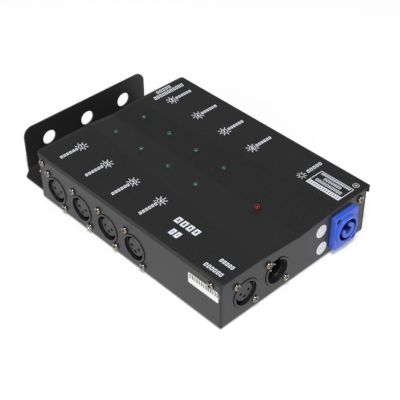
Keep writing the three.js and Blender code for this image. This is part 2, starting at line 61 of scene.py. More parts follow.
class Side(Enum):
    """A wall of the case, by its quarter turns about Z from the inlet end."""

    FRONT = 0
    RIGHT = 1
    REAR = 2
    LEFT = 3


# Colours and nodes


def linear(code: str) -> tuple[float, float, float, float]:
    """Turns an sRGB hex colour into linear red, green and blue with full alpha.

    Args:
        code: Six hex digits.

    Returns:
        The colour.
    """
    channels = [int(code[start:start + 2], 16) / 255 for start in (0, 2, 4)]
    lin = [c / 12.92 if c <= 0.04045 else ((c + 0.055) / 1.055) ** 2.4 for c in channels]
    return (*lin, 1.0)


def add_node(tree: bpy.types.NodeTree, kind: str, settings: dict | None = None,
             inputs: dict | None = None) -> bpy.types.Node:
    """Adds a node, sets its properties, and fills or links its inputs.

    Args:
        tree: The tree that gets the node.
        kind: Blender's identifier of the node type.
        settings: Properties of the node.
        inputs: Input names or numbers with a value, or with an output socket to link.

    Returns:
        The new node.
    """
    node = tree.nodes.new(kind)
    for key, value in (settings or {}).items():
        setattr(node, key, value)
    for key, value in (inputs or {}).items():
        if isinstance(value, bpy.types.NodeSocket):
            tree.links.new(value, node.inputs[key])
        else:
            node.inputs[key].default_value = value
    return node


def noise_per_mm(tree: bpy.types.NodeTree, where: bpy.types.NodeSocket, size: float,
                 detail: float) -> bpy.types.NodeSocket:
    """Adds noise, about 0.5 on average, with blotches of a size in millimetres on coordinates in metres."""
    inputs = {"Vector": where, "Scale": 1 / (size * MM), "Detail": detail}
    return add_node(tree, "ShaderNodeTexNoise", None, inputs).outputs["Fac"]


@dataclass(frozen=True)
class Finish:
    """A surface: two close colours in blotches, a roughness range and a fine relief, in millimetres.

    Attributes:
        name: Material and process.
        slot: The record's material slot.
        colour: Main colour, sRGB hex.
        patch: Second colour, which shows in blotches.
        patch_size: Width of a blotch.
        rough: Lowest and highest roughness.
        grain: Width of the relief's grains.
        relief: Height of the relief.
        metal: Metalness.
        specular: Specular level of a coat or plastic, 0.5 for an ordinary one.
        patch_detail: Octaves of finer noise in the blotches, as grain_detail is in the grains.
        grain_share: How much the grains break up the blotches.
        spread: Values of the noise at which the roughness is lowest and highest.
    """

    name: str
    slot: str
    colour: str
    patch: str
    patch_size: float = 6.0
    rough: Pair = (0.4, 0.5)
    grain: float = 0.5
    relief: float = 0.01
    metal: float = 0.0
    specular: float = 0.5
    patch_detail: float = 3.0
    grain_detail: float = 1.0
    grain_share: float = 0.6
    spread: Pair = (0.3, 0.7)

    def shader(self, tree: bpy.types.NodeTree) -> bpy.types.Node:
        """Builds the surface's nodes: the second colour's share is the blotches plus the centred grains.

        Args:
            tree: The material's tree.

        Returns:
            The Principled BSDF.
        """
        where = add_node(tree, "ShaderNodeTexCoord").outputs["Object"]
        patches = noise_per_mm(tree, where, self.patch_size, self.patch_detail)
        grains = noise_per_mm(tree, where, self.grain, self.grain_detail)
        blend = add_node(tree, "ShaderNodeMath", {"operation": "MULTIPLY_ADD"},
                         {0: grains, 1: self.grain_share, 2: -self.grain_share / 2})
        share = add_node(tree, "ShaderNodeMath", {"operation": "ADD", "use_clamp": True},
                         {0: patches, 1: blend.outputs[0]})
        colour = add_node(tree, "ShaderNodeMix", {"data_type": "RGBA"},
                          {"Factor": share.outputs[0], 6: linear(self.colour), 7: linear(self.patch)})
        rough = add_node(tree, "ShaderNodeMapRange", None,
                         {"Value": patches, "From Min": self.spread[0], "From Max": self.spread[1],
                          "To Min": self.rough[0], "To Max": self.rough[1]})
        bump = add_node(tree, "ShaderNodeBump", None,
                        {"Height": grains, "Strength": 1.0, "Distance": self.relief * MM})
        return add_node(tree, "ShaderNodeBsdfPrincipled", None, {
            "Base Color": colour.outputs[2],
            "Roughness": rough.outputs["Result"],
            "Normal": bump.outputs["Normal"],
            "Metallic": self.metal,
            "Specular IOR Level": self.specular,
        })

    def material(self) -> bpy.types.Material:
        """Gives the finish's material, made on its first use.

        Returns:
            The material.
        """
        made = bpy.data.materials.get(self.name)
        if made:
            return made
        made = bpy.data.materials.new(self.name)
        made.use_nodes = True
        made.node_tree.nodes.clear()
        shader = self.shader(made.node_tree)
        add_node(made.node_tree, "ShaderNodeOutputMaterial", None, {"Surface": shader.outputs["BSDF"]})
        return made


@dataclass(frozen=True)
class TintedEpoxy(Finish):
    """Clear tinted resin, which lets light in and shows a darker middle.

    Attributes:
        clear: Share of light that passes through.
    """

    clear: float = 0.35

    def shader(self, tree: bpy.types.NodeTree) -> bpy.types.Node:
        """Builds the surface's nodes and lets part of the light through.

        Args:
            tree: The material's tree.

        Returns:
            The Principled BSDF.
        """
        shader = super().shader(tree)
        shader.inputs["Transmission Weight"].default_value = self.clear
        return shader


# Satin black powder coat on folded steel: a smooth skin with faint orange peel that mirrors the pale floor.
TRAY_PAINT = Finish("powder_coated_steel_satin", "tray_paint", "272729", "2b2b2d",
                    18.0, (0.34, 0.4), 1.1, 0.006, specular=0.46)
# Textured powder coat: the same black with a fine mottle, duller than the tray.
COVER_PAINT = Finish("powder_coated_steel_textured", "cover_paint", "161616", "2f2e2f",
                     1.6, (0.46, 0.56), 0.7, 0.02, specular=0.35)
# The bracket's coat is smoother and blacker.
BRACKET_PAINT = Finish("powder_coated_steel_black", "bracket_paint", "262628", "2a2a2c",
                       20.0, (0.42, 0.5), 1.0, 0.005)
# Glass-filled nylon shells, moulded, with a fine spark-eroded grain.
SOCKET_NYLON = Finish("glass_filled_nylon_moulded", "socket_plastic", "2f2f31", "343436",
                      5.0, (0.38, 0.46), 0.35, 0.004)
# The same nylon deep in grooves and holes, painted soot black as shade there, and dull.
SOCKET_PAINTED_SHADE = Finish("glass_filled_nylon_painted_shade", "socket_plastic", "161617", "1b1b1c",
                      3.0, (0.6, 0.7), 0.35, 0.01, specular=0.15)
# The well's nylon, moulded smooth and glossy, painted black as shade deep in the well; its gloss shows a soft
# bright streak.
WELL_NYLON_PAINTED_SHADE = Finish("black_nylon_gloss_painted_shade", "socket_plastic", "1a1a1b", "1f1f20",
                    4.0, (0.26, 0.32), 0.5, 0.002)
# Blue nylon, moulded and slightly glossy on its rounded edges.
INLET_NYLON = Finish("blue_nylon_moulded", "inlet_plastic", "3b60d6", "4166dc",
                     6.0, (0.3, 0.38), 0.4, 0.004)
# The blue nylon deep in its groove and down the core's sides, painted navy as shade, and dull.
INLET_PAINTED_SHADE = Finish("blue_nylon_painted_shade", "inlet_plastic", "27368a", "2e3e98",
                     3.0, (0.6, 0.7), 0.4, 0.01, specular=0.2)
# Bright nickel over steel, with a warm cast and faint tumbling marks.
NICKEL = Finish("nickel_plated_steel", "screw_nickel", "9c9186", "887e73",
                1.2, (0.18, 0.28), 0.3, 0.004, metal=1.0)
# The driver recess and the head's side, painted brown black: shade in the recess and a dark reflection on the
# side.
SCREW_PAINTED_SHADE = Finish("nickel_recess_painted_shade", "screw_nickel", "2a231f", "332b26",
                0.8, (0.5, 0.6), 0.3, 0.004, specular=0.2)
# Black oxide on steel: dark, with a dull sheen.
BLACK_OXIDE = Finish("black_oxide_steel", "screw_black", "1d1b1b", "2a2726",
                     1.5, (0.35, 0.5), 0.3, 0.004, metal=0.8)
# Silver-plated brass contacts.
SILVER = Finish("silver_plated_brass", "pin_metal", "f0eee6", "e2ded0",
                1.5, (0.16, 0.24), 0.3, 0.002, metal=1.0)
# Diffused green and red epoxy of the indicator lights.
GREEN_EPOXY = TintedEpoxy("green_epoxy_cast", "green_lens", "2b5e3d", "376d49",
                          1.0, (0.14, 0.2), 0.5, 0.002)
RED_EPOXY = TintedEpoxy("red_epoxy_cast", "red_lens", "6e1719", "821f20", 1.5, (0.1, 0.16), 0.5, 0.002)
# White screen-printed ink, slightly uneven where the coat's texture shows through.
WHITE_INK = Finish("screen_printed_ink", "cover_paint", "e9ecf4", "d5d9e4", 1.0, (0.5, 0.6), 0.5, 0.006)
# Coated label paper.
LABEL_PAPER = Finish("coated_label_paper", "tray_paint", "f8f7f5", "f2f1ee",
                     8.0, (0.28, 0.36), 0.4, 0.003, specular=0.8)
# Pale grey print on the round stickers.
DISC_PRINT = Finish("screen_printed_grey", "tray_paint", "c2c0be", "cac8c6", 1.0, (0.5, 0.6), 0.5, 0.003)
# Grey thermal print on the paper.
LABEL_PRINT = Finish("thermal_print_grey", "tray_paint", "5a5856", "6a6866", 1.0, (0.5, 0.6), 0.5, 0.003)
# Solder mask on glass-epoxy laminate, moulded epoxy, potted module case, moulded fuse holder, rubber strip.
LAMINATE = Finish("solder_mask_on_laminate", "board_laminate", "1d4a2c", "235634",
                  4.0, (0.35, 0.45), 1.5, 0.01)
CHIP_EPOXY = Finish("epoxy_moulded", "chip_resin", "17181a", "1e1f21", 2.0, (0.5, 0.6), 0.3, 0.006)
MODULE_CASE = Finish("potted_module_case", "module_resin", "202124", "28292c", 8.0, (0.5, 0.6), 0.6, 0.01)
FUSE_MOULDING = Finish("thermoset_moulded", "fuse_plastic", "6a6a66", "74746f", 3.0, (0.4, 0.5), 0.4, 0.006)
RUBBER = Finish("rubber_moulded", "foot_rubber", "151515", "1d1d1d", 3.0, (0.8, 0.9), 0.6, 0.02)


# Surfaces


@dataclass
class Surface:
    """Points and faces of a mesh in millimetres.

    Attributes:
        points: One row of x, y and z for each point.
        faces: Corner indices of each face.
        marks: Which faces take the piece's second finish, painted shade; none of them where it is left out.
    """

    points: np.ndarray
    faces: list
    marks: np.ndarray | None = None

    def __post_init__(self) -> None:
        """Fills in the marks."""
        if self.marks is None:
            self.marks = np.zeros(len(self.faces), bool)

    def __add__(self, other: "Surface") -> "Surface":
        """Puts another surface beside this one in the same mesh.

        Args:
            other: The surface to add.

        Returns:
            Both as one surface.
        """
        step = len(self.points)
        moved = [[corner + step for corner in face] for face in other.faces]
        marks = np.concatenate([self.marks, other.marks])
        return Surface(np.vstack([self.points, other.points]), self.faces + moved, marks)

    def moved(self, change: Callable[[np.ndarray], np.ndarray]) -> "Surface":
        """Returns the surface with its points put through a function of the whole array."""
        return Surface(change(self.points), self.faces, self.marks)

    def painted_shade_below(self, height: float) -> "Surface":
        """Marks each four-sided face whose lowest corner is under a height, for the piece's painted shade."""
        lowest = self.points[np.array(self.faces), 2].min(axis=1)
        return Surface(self.points, self.faces, lowest < height)

    def opened(self, radius: float) -> "Surface":
        """Drops each four-sided face that lies within a radius of the axis, and points that only it used.

        Args:
            radius: The radius.

        Returns:
            The surface with its middle open.
        """
        corners = np.array(self.faces)
        away = np.linalg.norm(self.points[corners, :2], axis=2).max(axis=1)
        used, index = np.unique(corners[away > radius], return_inverse=True)
        return Surface(self.points[used], index.reshape(-1, 4).tolist(), self.marks[away > radius])


def joined(parts: Sequence[Surface]) -> Surface:
    """Puts surfaces beside one another in the same mesh."""
    return sum(parts[1:], parts[0])


def mirrored(lines: np.ndarray) -> np.ndarray:
    """Adds the same lines on the other side of the first one, which is at zero."""
    return np.concatenate([-lines[:0:-1], lines])


def lattice(points: np.ndarray, wrap: bool = False, marks: np.ndarray | None = None) -> Surface:
    """Joins a grid of points with four-sided faces.

    Args:
        points: Array of rows by columns by three. Faces look along the rows' way crossed with the columns'.
        wrap: Whether the last row joins the first.
        marks: Which points are marked. A face is marked where all its corners are.

    Returns:
        The surface.
    """
    rows, columns = points.shape[:2]
    index = np.arange(rows * columns).reshape(rows, columns)
    if wrap:
        index = np.vstack([index, index[:1]])
    corners = [index[:-1, :-1], index[1:, :-1], index[1:, 1:], index[:-1, 1:]]
    faces = np.stack([corner.ravel() for corner in corners], axis=1)
    marked = None if marks is None else marks.ravel()[faces].all(axis=1)
    return Surface(points.reshape(-1, 3), faces.tolist(), marked)


@dataclass(frozen=True)
class Notch:
    """A slot that is cut down into the front of a turned form.

    Attributes:
        turn: Angle of its middle in degrees.
        half: Half its width in degrees.
        floor: Height of its floor.
        radius: Only points nearer the axis than this are cut.
    """

    turn: float
    half: float
    floor: float
    radius: float


# Degrees on each side of a notch's edge between which its steep side stands.
NOTCH_SIDE = 0.1
# Places of the rings of points round a hole, by their share of the way from its circle to its cell's edge.
CELL_SHARES = (0.0, 0.12, 0.5)
# Steps of each corner of a rounded outline.
OUTLINE_STEPS = 6
# A block's rounding is its shortest length over this.
BLOCK_SHARE = 20
# A stretch between cells shorter than this share of a step gets no line of its own.
LEAST_GAP = 0.01


def spun(radius: np.ndarray, height: np.ndarray, angle: np.ndarray) -> np.ndarray:
    """Gives the points (r cos a, r sin a, h) for every angle in a column, in radians, and every (r, h)."""
    return np.stack([radius * np.cos(angle), radius * np.sin(angle), height + 0 * angle], axis=2)


def turned(profile: Sequence[Pair], sides: int, notches: Sequence[Notch] = ()) -> Surface:
    """Turns a profile about Z: a point is (r cos a, r sin a, h) for every angle a and profile point (r, h).

    Args:
        profile: Radius and height of each point. A profile that rises at the outside faces outwards.
        sides: Steps round the axis.
        notches: Slots, where h is no higher than the slot's floor.

    Returns:
        The surface.
    """
    radius, height = np.array(profile, float).T
    angle = np.linspace(0, 360, sides, endpoint=False)
    for notch in notches:
        edges = notch.turn + np.array([-notch.half, notch.half])
        angle = np.concatenate([angle, edges - NOTCH_SIDE, edges + NOTCH_SIDE])
    angle = np.unique(angle % 360)[:, None]
    rise = height + 0 * angle
    for notch in notches:
        away = np.abs((angle - notch.turn + 180) % 360 - 180)
        rise = np.where((away < notch.half) & (radius < notch.radius), np.minimum(rise, notch.floor), rise)
    return lattice(spun(radius, rise, np.radians(angle)), wrap=True)


def rounded_corner(centre: Pair, radius: float, start: float, end: float,
                   steps: int = 4) -> list[Pair]:
    """Gives the points of an arc round its centre, from the start angle to the end angle in degrees."""
    angle = np.radians(np.linspace(start, end, steps + 1))
    return list(zip(centre[0] + radius * np.cos(angle), centre[1] + radius * np.sin(angle)))


def rounded_outline(width: float, height: float, radius: float) -> np.ndarray:
    """Gives the outline of a rectangle with round corners, anticlockwise.

    Args:
        width: Full width.
        height: Full height.
        radius: Corner radius.

    Returns:
        One row of x and y for each point.
    """
    x = width / 2 - radius
    y = height / 2 - radius
    corners = [(x, y, 0), (-x, y, 90), (-x, -y, 180), (x, -y, 270)]
    points = [rounded_corner((cx, cy), radius, turn, turn + 90, OUTLINE_STEPS) for cx, cy, turn in corners]
    return np.array([point for corner in points for point in corner])


def rounded_plate(width: float, height: float, radius: float, low: float, high: float,
                  edge: float) -> Surface:
    """Builds a closed plate whose rim is a rounded rectangle carried up a profile with a round upper edge.

    A point is the outline drawn in by the profile's inset, at its height; the caps close to the middle. The
    corner radius shrinks with the inset, down to a quarter of the upper edge's radius.

    Args:
        width: Full width.
        height: Full height.
        radius: Corner radius.
        low: Height of the lower face.
        high: Height of the upper face.
        edge: Radius of the upper edge.

    Returns:
        The closed surface.
    """
    arc = rounded_corner((edge, high - edge), edge, 180, 90)
    profile = [(0.0, low), *arc]
    rims = [rounded_outline(width - 2 * inset, height - 2 * inset, max(radius - inset, edge / 4))
            for inset, _ in profile]
    middle = np.zeros_like(rims[0])
    rows = [middle, *rims, middle]
    heights = [low, *[z for _, z in profile], high]
    grid = np.stack([np.column_stack([rim, np.full(len(rim), z)]) for rim, z in zip(rows, heights)], axis=1)
    return lattice(grid, wrap=True)


def block(low: Sequence[float], high: Sequence[float]) -> Surface:
    """Builds a closed box between two corners.

    Args:
        low: Its corner with the lowest x, y and z.
        high: Its corner with the highest.

    Returns:
        The closed surface.
    """
    size = np.subtract(high, low)
    middle = np.add(high, low) / 2
    radius, edge = min(size[:2]) / BLOCK_SHARE, min(size) / BLOCK_SHARE
    plate = rounded_plate(size[0], size[1], radius, low[2], high[2], edge)
    return plate.moved(lambda points: points + [middle[0], middle[1], 0])


@dataclass(frozen=True)
class Hole:
    """A round hole in a grid, with the stretch of grid that gives way to it.

    Attributes:
        centre: Place of its middle in the plan.
        radius: Its radius.
        reach: Half width and half height of the cell round it, along the grid's lines.
        cell: Place of the cell's middle along the grid's lines, where that isn't the hole's own.
    """

    centre: Pair
    radius: float
    reach: Pair
    cell: Pair | None = None


def squared_corner(x: np.ndarray, y: np.ndarray, radius: float) -> tuple[np.ndarray, np.ndarray]:
    """Rounds a corner: a square's point (u, v) goes to u root(1 - v v / 2), v root(1 - u u / 2).

    Args:
        x: Distances past the corner's centre, negative before it.
        y: The same in the other direction.
        radius: The corner's radius.

    Returns:
        The rounded distances.
    """
    u, v = x / radius, y / radius
    inside = (u > 0) & (v > 0)
    round_x = x * np.sqrt(np.clip(1 - v * v / 2, 0, None))
    round_y = y * np.sqrt(np.clip(1 - u * u / 2, 0, None))
    return np.where(inside, round_x, x), np.where(inside, round_y, y)


def levels(low: float, high: float, step: float,
           marks: Sequence[tuple[float, float, int]] = ()) -> np.ndarray:
    """Spaces grid lines over a stretch, with exact lines and equal steps inside marked cells.

    Args:
        low: First line.
        high: Last line.
        step: Largest step outside the cells.
        marks: Middle, half width and number of steps of each cell.

    Returns:
        The sorted lines.
    """
    lines = []
    start = low
    for middle, half, count in sorted(marks):
        gap = middle - half - start
        if gap > step * LEAST_GAP:
            lines += list(np.linspace(start, middle - half, max(1, math.ceil(gap / step)) + 1)[:-1])
        lines += list(np.linspace(middle - half, middle + half, count + 1)[:-1])
        start = middle + half
    lines += list(np.linspace(start, high, max(1, math.ceil((high - start) / step)) + 1))
    return np.array(lines)


def punched(across: np.ndarray, up: np.ndarray, holes: Sequence[Hole],
            plan: Callable[[np.ndarray], np.ndarray] = np.array) -> tuple[Surface, list[list[int]]]:
    """Builds a flat grid with round holes.

    Inside a hole's cell a point is (1 - t) times the circle plus t times the cell's edge at the same angle.

    Args:
        across: Grid lines in the first direction.
        up: Grid lines in the second direction.
        holes: The holes, whose cells begin and end on grid lines.
        plan: Turns pairs of grid values into places in the plane, before the holes are cut.

    Returns:
        The surface in the plane z = 0, and the indices of the points round each hole, anticlockwise.
    """
    columns, rows = len(across), len(up)
    index = np.arange(columns * rows).reshape(columns, rows)
    flat = plan(np.stack(np.meshgrid(across, up, indexing="ij"), axis=2).reshape(-1, 2))
    kept = np.ones((columns - 1, rows - 1), bool)
    points = [flat]
    faces: list = []
    rims = []
    total = len(flat)
    for hole in holes:
        cell = hole.cell or hole.centre
        first, last = [int(np.abs(across - (cell[0] + sign * hole.reach[0])).argmin()) for sign in (-1, 1)]
        under, over = [int(np.abs(up - (cell[1] + sign * hole.reach[1])).argmin()) for sign in (-1, 1)]
        kept[first:last, under:over] = False
        edge = np.concatenate([
            index[first:last, under], index[last, under:over],
            index[last:first:-1, over], index[first, over:under:-1],
        ])
        offset = flat[edge] - hole.centre
        circle = offset / np.linalg.norm(offset, axis=1)[:, None] * hole.radius
        rings = []
        for share in CELL_SHARES:
            points.append(np.add(circle * (1 - share) + offset * share, hole.centre))
            rings.append(np.arange(total, total + len(edge)))
            total += len(edge)
        rings.append(edge)
        for inner, outer in zip(rings, rings[1:]):
            quads = [inner, outer, np.roll(outer, -1), np.roll(inner, -1)]
            faces += np.stack(quads, axis=1).tolist()
        rims.append(rings[0].tolist())
    corners = [index[:-1, :-1], index[1:, :-1], index[1:, 1:], index[:-1, 1:]]
    faces += np.stack([corner[kept] for corner in corners], axis=1).tolist()
    flat_points = np.vstack(points)
    return Surface(np.column_stack([flat_points, np.zeros(len(flat_points))]), faces), rims


def sleeves(surface: Surface, rims: Sequence[list[int]], depth: float) -> Surface:
    """Gives each hole of a flat surface a straight wall down its depth and a floor.

    Args:
        surface: The punched surface, facing +Z.
        rims: Indices round each hole, anticlockwise.
        depth: How far each hole goes down.

    Returns:
        The surface with closed holes.
    """
    result = surface
    for rim in rims:
        ring = surface.points[rim]
        middle = ring.mean(axis=0)
        rows = [ring, ring - [0, 0, depth], np.broadcast_to(middle - [0, 0, depth], ring.shape)]
        result = result + lattice(np.stack(rows, axis=1), wrap=True)
    return result


def swept(outline: np.ndarray, path: np.ndarray, side: np.ndarray) -> Surface:
    """Carries a closed outline along a flat path and closes its ends.

    A point is the path's point plus the outline's first value times the side, at its second as height.

    Args:
        outline: Closed section, side and height of each point, anticlockwise with the side to the right.
        path: The path's x and y.
        side: Side direction at each point of the path, shorter than 1 where the section narrows.

    Returns:
        The closed surface.
    """
    spots = path[:, None, :] + outline[None, :, :1] * side[:, None, :]
    height = np.broadcast_to(outline[None, :, 1:], (len(path), len(outline), 1))
    tube = np.concatenate([spots, height], axis=2)
    tube = np.concatenate([tube, tube[:, :1]], axis=1)
    ends = [np.broadcast_to(end.mean(axis=0), end.shape)[None] for end in (tube[0], tube[-1])]
    return lattice(np.concatenate([ends[0], tube, ends[1]], axis=0))


# Pieces


# Distance under which points are welded, the largest angles in degrees that are shaded smooth and that get no
# bevel, and the steps of a bevel.
WELD = 0.002
SMOOTH_ANGLE = 32.0
BEVEL_ANGLE = 40.0
BEVEL_STEPS = 2

# Middles of the front wall's openings, to the right of its own, and the screws' places on a round socket.
FRONT_PLACES = {"thru_socket": -52.9, "input_socket": -20.8, "power_inlet": 50.4}
SCREW_PLACE = (9.5, 12.0)


def make_piece(name: str, surface: Surface, finish: Finish, replaced: Sequence[str] = (),
               thickness: float = 0.0, edge: float = 0.0, second: Finish | None = None) -> None:
    """Turns a surface into a finished piece in the frame.

    Args:
        name: The piece's name.
        surface: Its surface in millimetres, placed in the frame.
        finish: Its finish.
        replaced: CAD nodes that it stands for.
        thickness: Wall to give to an open sheet, away from its faces, in millimetres.
        edge: Width of the bevel on its sharp edges, in millimetres.
        second: The finish of the surface's marked faces, a painted shade.
    """
    mesh = bpy.data.meshes.new(name)
    mesh.from_pydata((surface.points * MM).tolist(), [], surface.faces)
    mesh.materials.append(finish.material())
    if second:
        mesh.materials.append(second.material())
        mesh.polygons.foreach_set("material_index", surface.marks.astype(np.int32))
    piece = bpy.data.objects.new(name, mesh)
    bpy.context.scene.collection.objects.link(piece)
    weld = piece.modifiers.new("weld", "WELD")
    weld.merge_threshold = WELD * MM
    if thickness:
        wall = piece.modifiers.new("wall", "SOLIDIFY")
        wall.thickness = thickness * MM
        wall.offset = -1
    if edge:
        bevel = piece.modifiers.new("edge", "BEVEL")
        bevel.width = edge * MM
        bevel.segments = BEVEL_STEPS
        bevel.limit_method = "ANGLE"
        bevel.angle_limit = math.radians(BEVEL_ANGLE)
    bpy.context.view_layer.update()
    finished = bpy.data.meshes.new_from_object(piece.evaluated_get(bpy.context.evaluated_depsgraph_get()))
    piece.modifiers.clear()
    piece.data = finished
    bpy.data.meshes.remove(mesh)
    finished.name = name
    finished.shade_smooth()
    finished.set_sharp_from_angle(angle=math.radians(SMOOTH_ANGLE))
    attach(piece, BODY)
    if replaced:
        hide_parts(*replaced)
    log.info("made %s: %d faces", name, len(finished.polygons))


@dataclass(frozen=True)
class Seat:
    """A place on a wall of the case, where pieces are set that were built with +Y up and +Z outwards.

    Attributes:
        side: The wall.
        centre: The middle of the case along Y.
        along: Distance to the right of the wall's middle, seen from outside.
        height: Distance above the floor.
        reach: Distance of the wall's face from the middle of the case.
    """

    side: Side
    centre: float
    along: float
    height: float
    reach: float

    def shifted(self, across: float, up: float) -> "Seat":
        """Gives a seat beside this one on the same wall."""
        return Seat(self.side, self.centre, self.along + across, self.height + up, self.reach)

    def put(self, points: np.ndarray) -> np.ndarray:
        """Turns points about Z onto the wall.

        Args:
            points: Rows of across, up and out.

        Returns:
            Rows of x, y and z.
        """
        turn = self.side.value * math.pi / 2
        x = points[:, 0] + self.along
        y = -(self.reach + points[:, 2])
        return np.column_stack([
            x * math.cos(turn) - y * math.sin(turn),
            x * math.sin(turn) + y * math.cos(turn) + self.centre,
            points[:, 1] + self.height,
        ])


@dataclass
class Case:
    """Sizes of the case that its parts share, in millimetres.

    Attributes:
        top: Height of the cover's flat sides above the floor.
        centre: Middle of the case along Y.
        front_valley: Half width and depth of the cover's valley at the inlet end.
        rear_valley: The same at the bracket end.
        axis: Height of the side sockets above the underside, as front_axis and inlet_axis are in front.
        places: Middles of the side sockets from the case's middle.
        lamp_line: Distance of the rows of lights from the crease.
        lamp_shift: Distance of the lights along from the sockets' places.
        power_place: Place of the power light along the crease, as power_side is across.
    """

    width: float = 155.0
    length: float = 206.0
    bottom: float = 1.5
    top: float = 46.1
    centre: float = -14.95
    sheet: float = 0.9
    overhang: float = 2.6
    front_valley: Pair = (43.0, 3.3)
    rear_valley: Pair = (24.0, 2.3)
    axis: float = 16.9
    front_axis: float = 19.1
    inlet_axis: float = 19.4
    places: tuple[float, ...] = (82.6, 51.3, 20.0, -11.3)
    lamp_line: float = 15.1
    lamp_shift: float = -0.5
    power_place: float = -62.4
    power_side: float = -0.3

    def valley(self, y: np.ndarray) -> tuple[np.ndarray, np.ndarray]:
        """Gives the valley's half width and depth, which change evenly from end to end.

        Args:
            y: Places along, from the middle of the case.

        Returns:
            The half widths and the depths.
        """
        share = np.clip(y / (self.length + 2 * self.overhang) + 0.5, 0, 1)
        half = self.front_valley[0] * (1 - share) + self.rear_valley[0] * share
        depth = self.front_valley[1] * (1 - share) + self.rear_valley[1] * share
        return half, depth

    def dip(self, x: np.ndarray, y: np.ndarray) -> np.ndarray:
        """Gives how far the cover lies below its flat sides, in a V, at places from the case's middle."""
        half, depth = self.valley(y)
        return depth * np.clip(1 - np.abs(x) / half, 0, None)

    def seat(self, side: Side, along: float, height: float) -> Seat:
        """Gives a seat on a wall, with its height above the tray's underside."""
        reach = self.length / 2 if side in (Side.FRONT, Side.REAR) else self.width / 2
        return Seat(side, self.centre, along, self.bottom + height, reach)

    def side_seats(self) -> list[Seat]:
        """Gives the seats of the eight output sockets, the left wall first and each from the rear.

        Returns:
            The seats.
        """
        left = [self.seat(Side.LEFT, -place, self.axis) for place in self.places]
        right = [self.seat(Side.RIGHT, place, self.axis) for place in self.places]
        return left + right


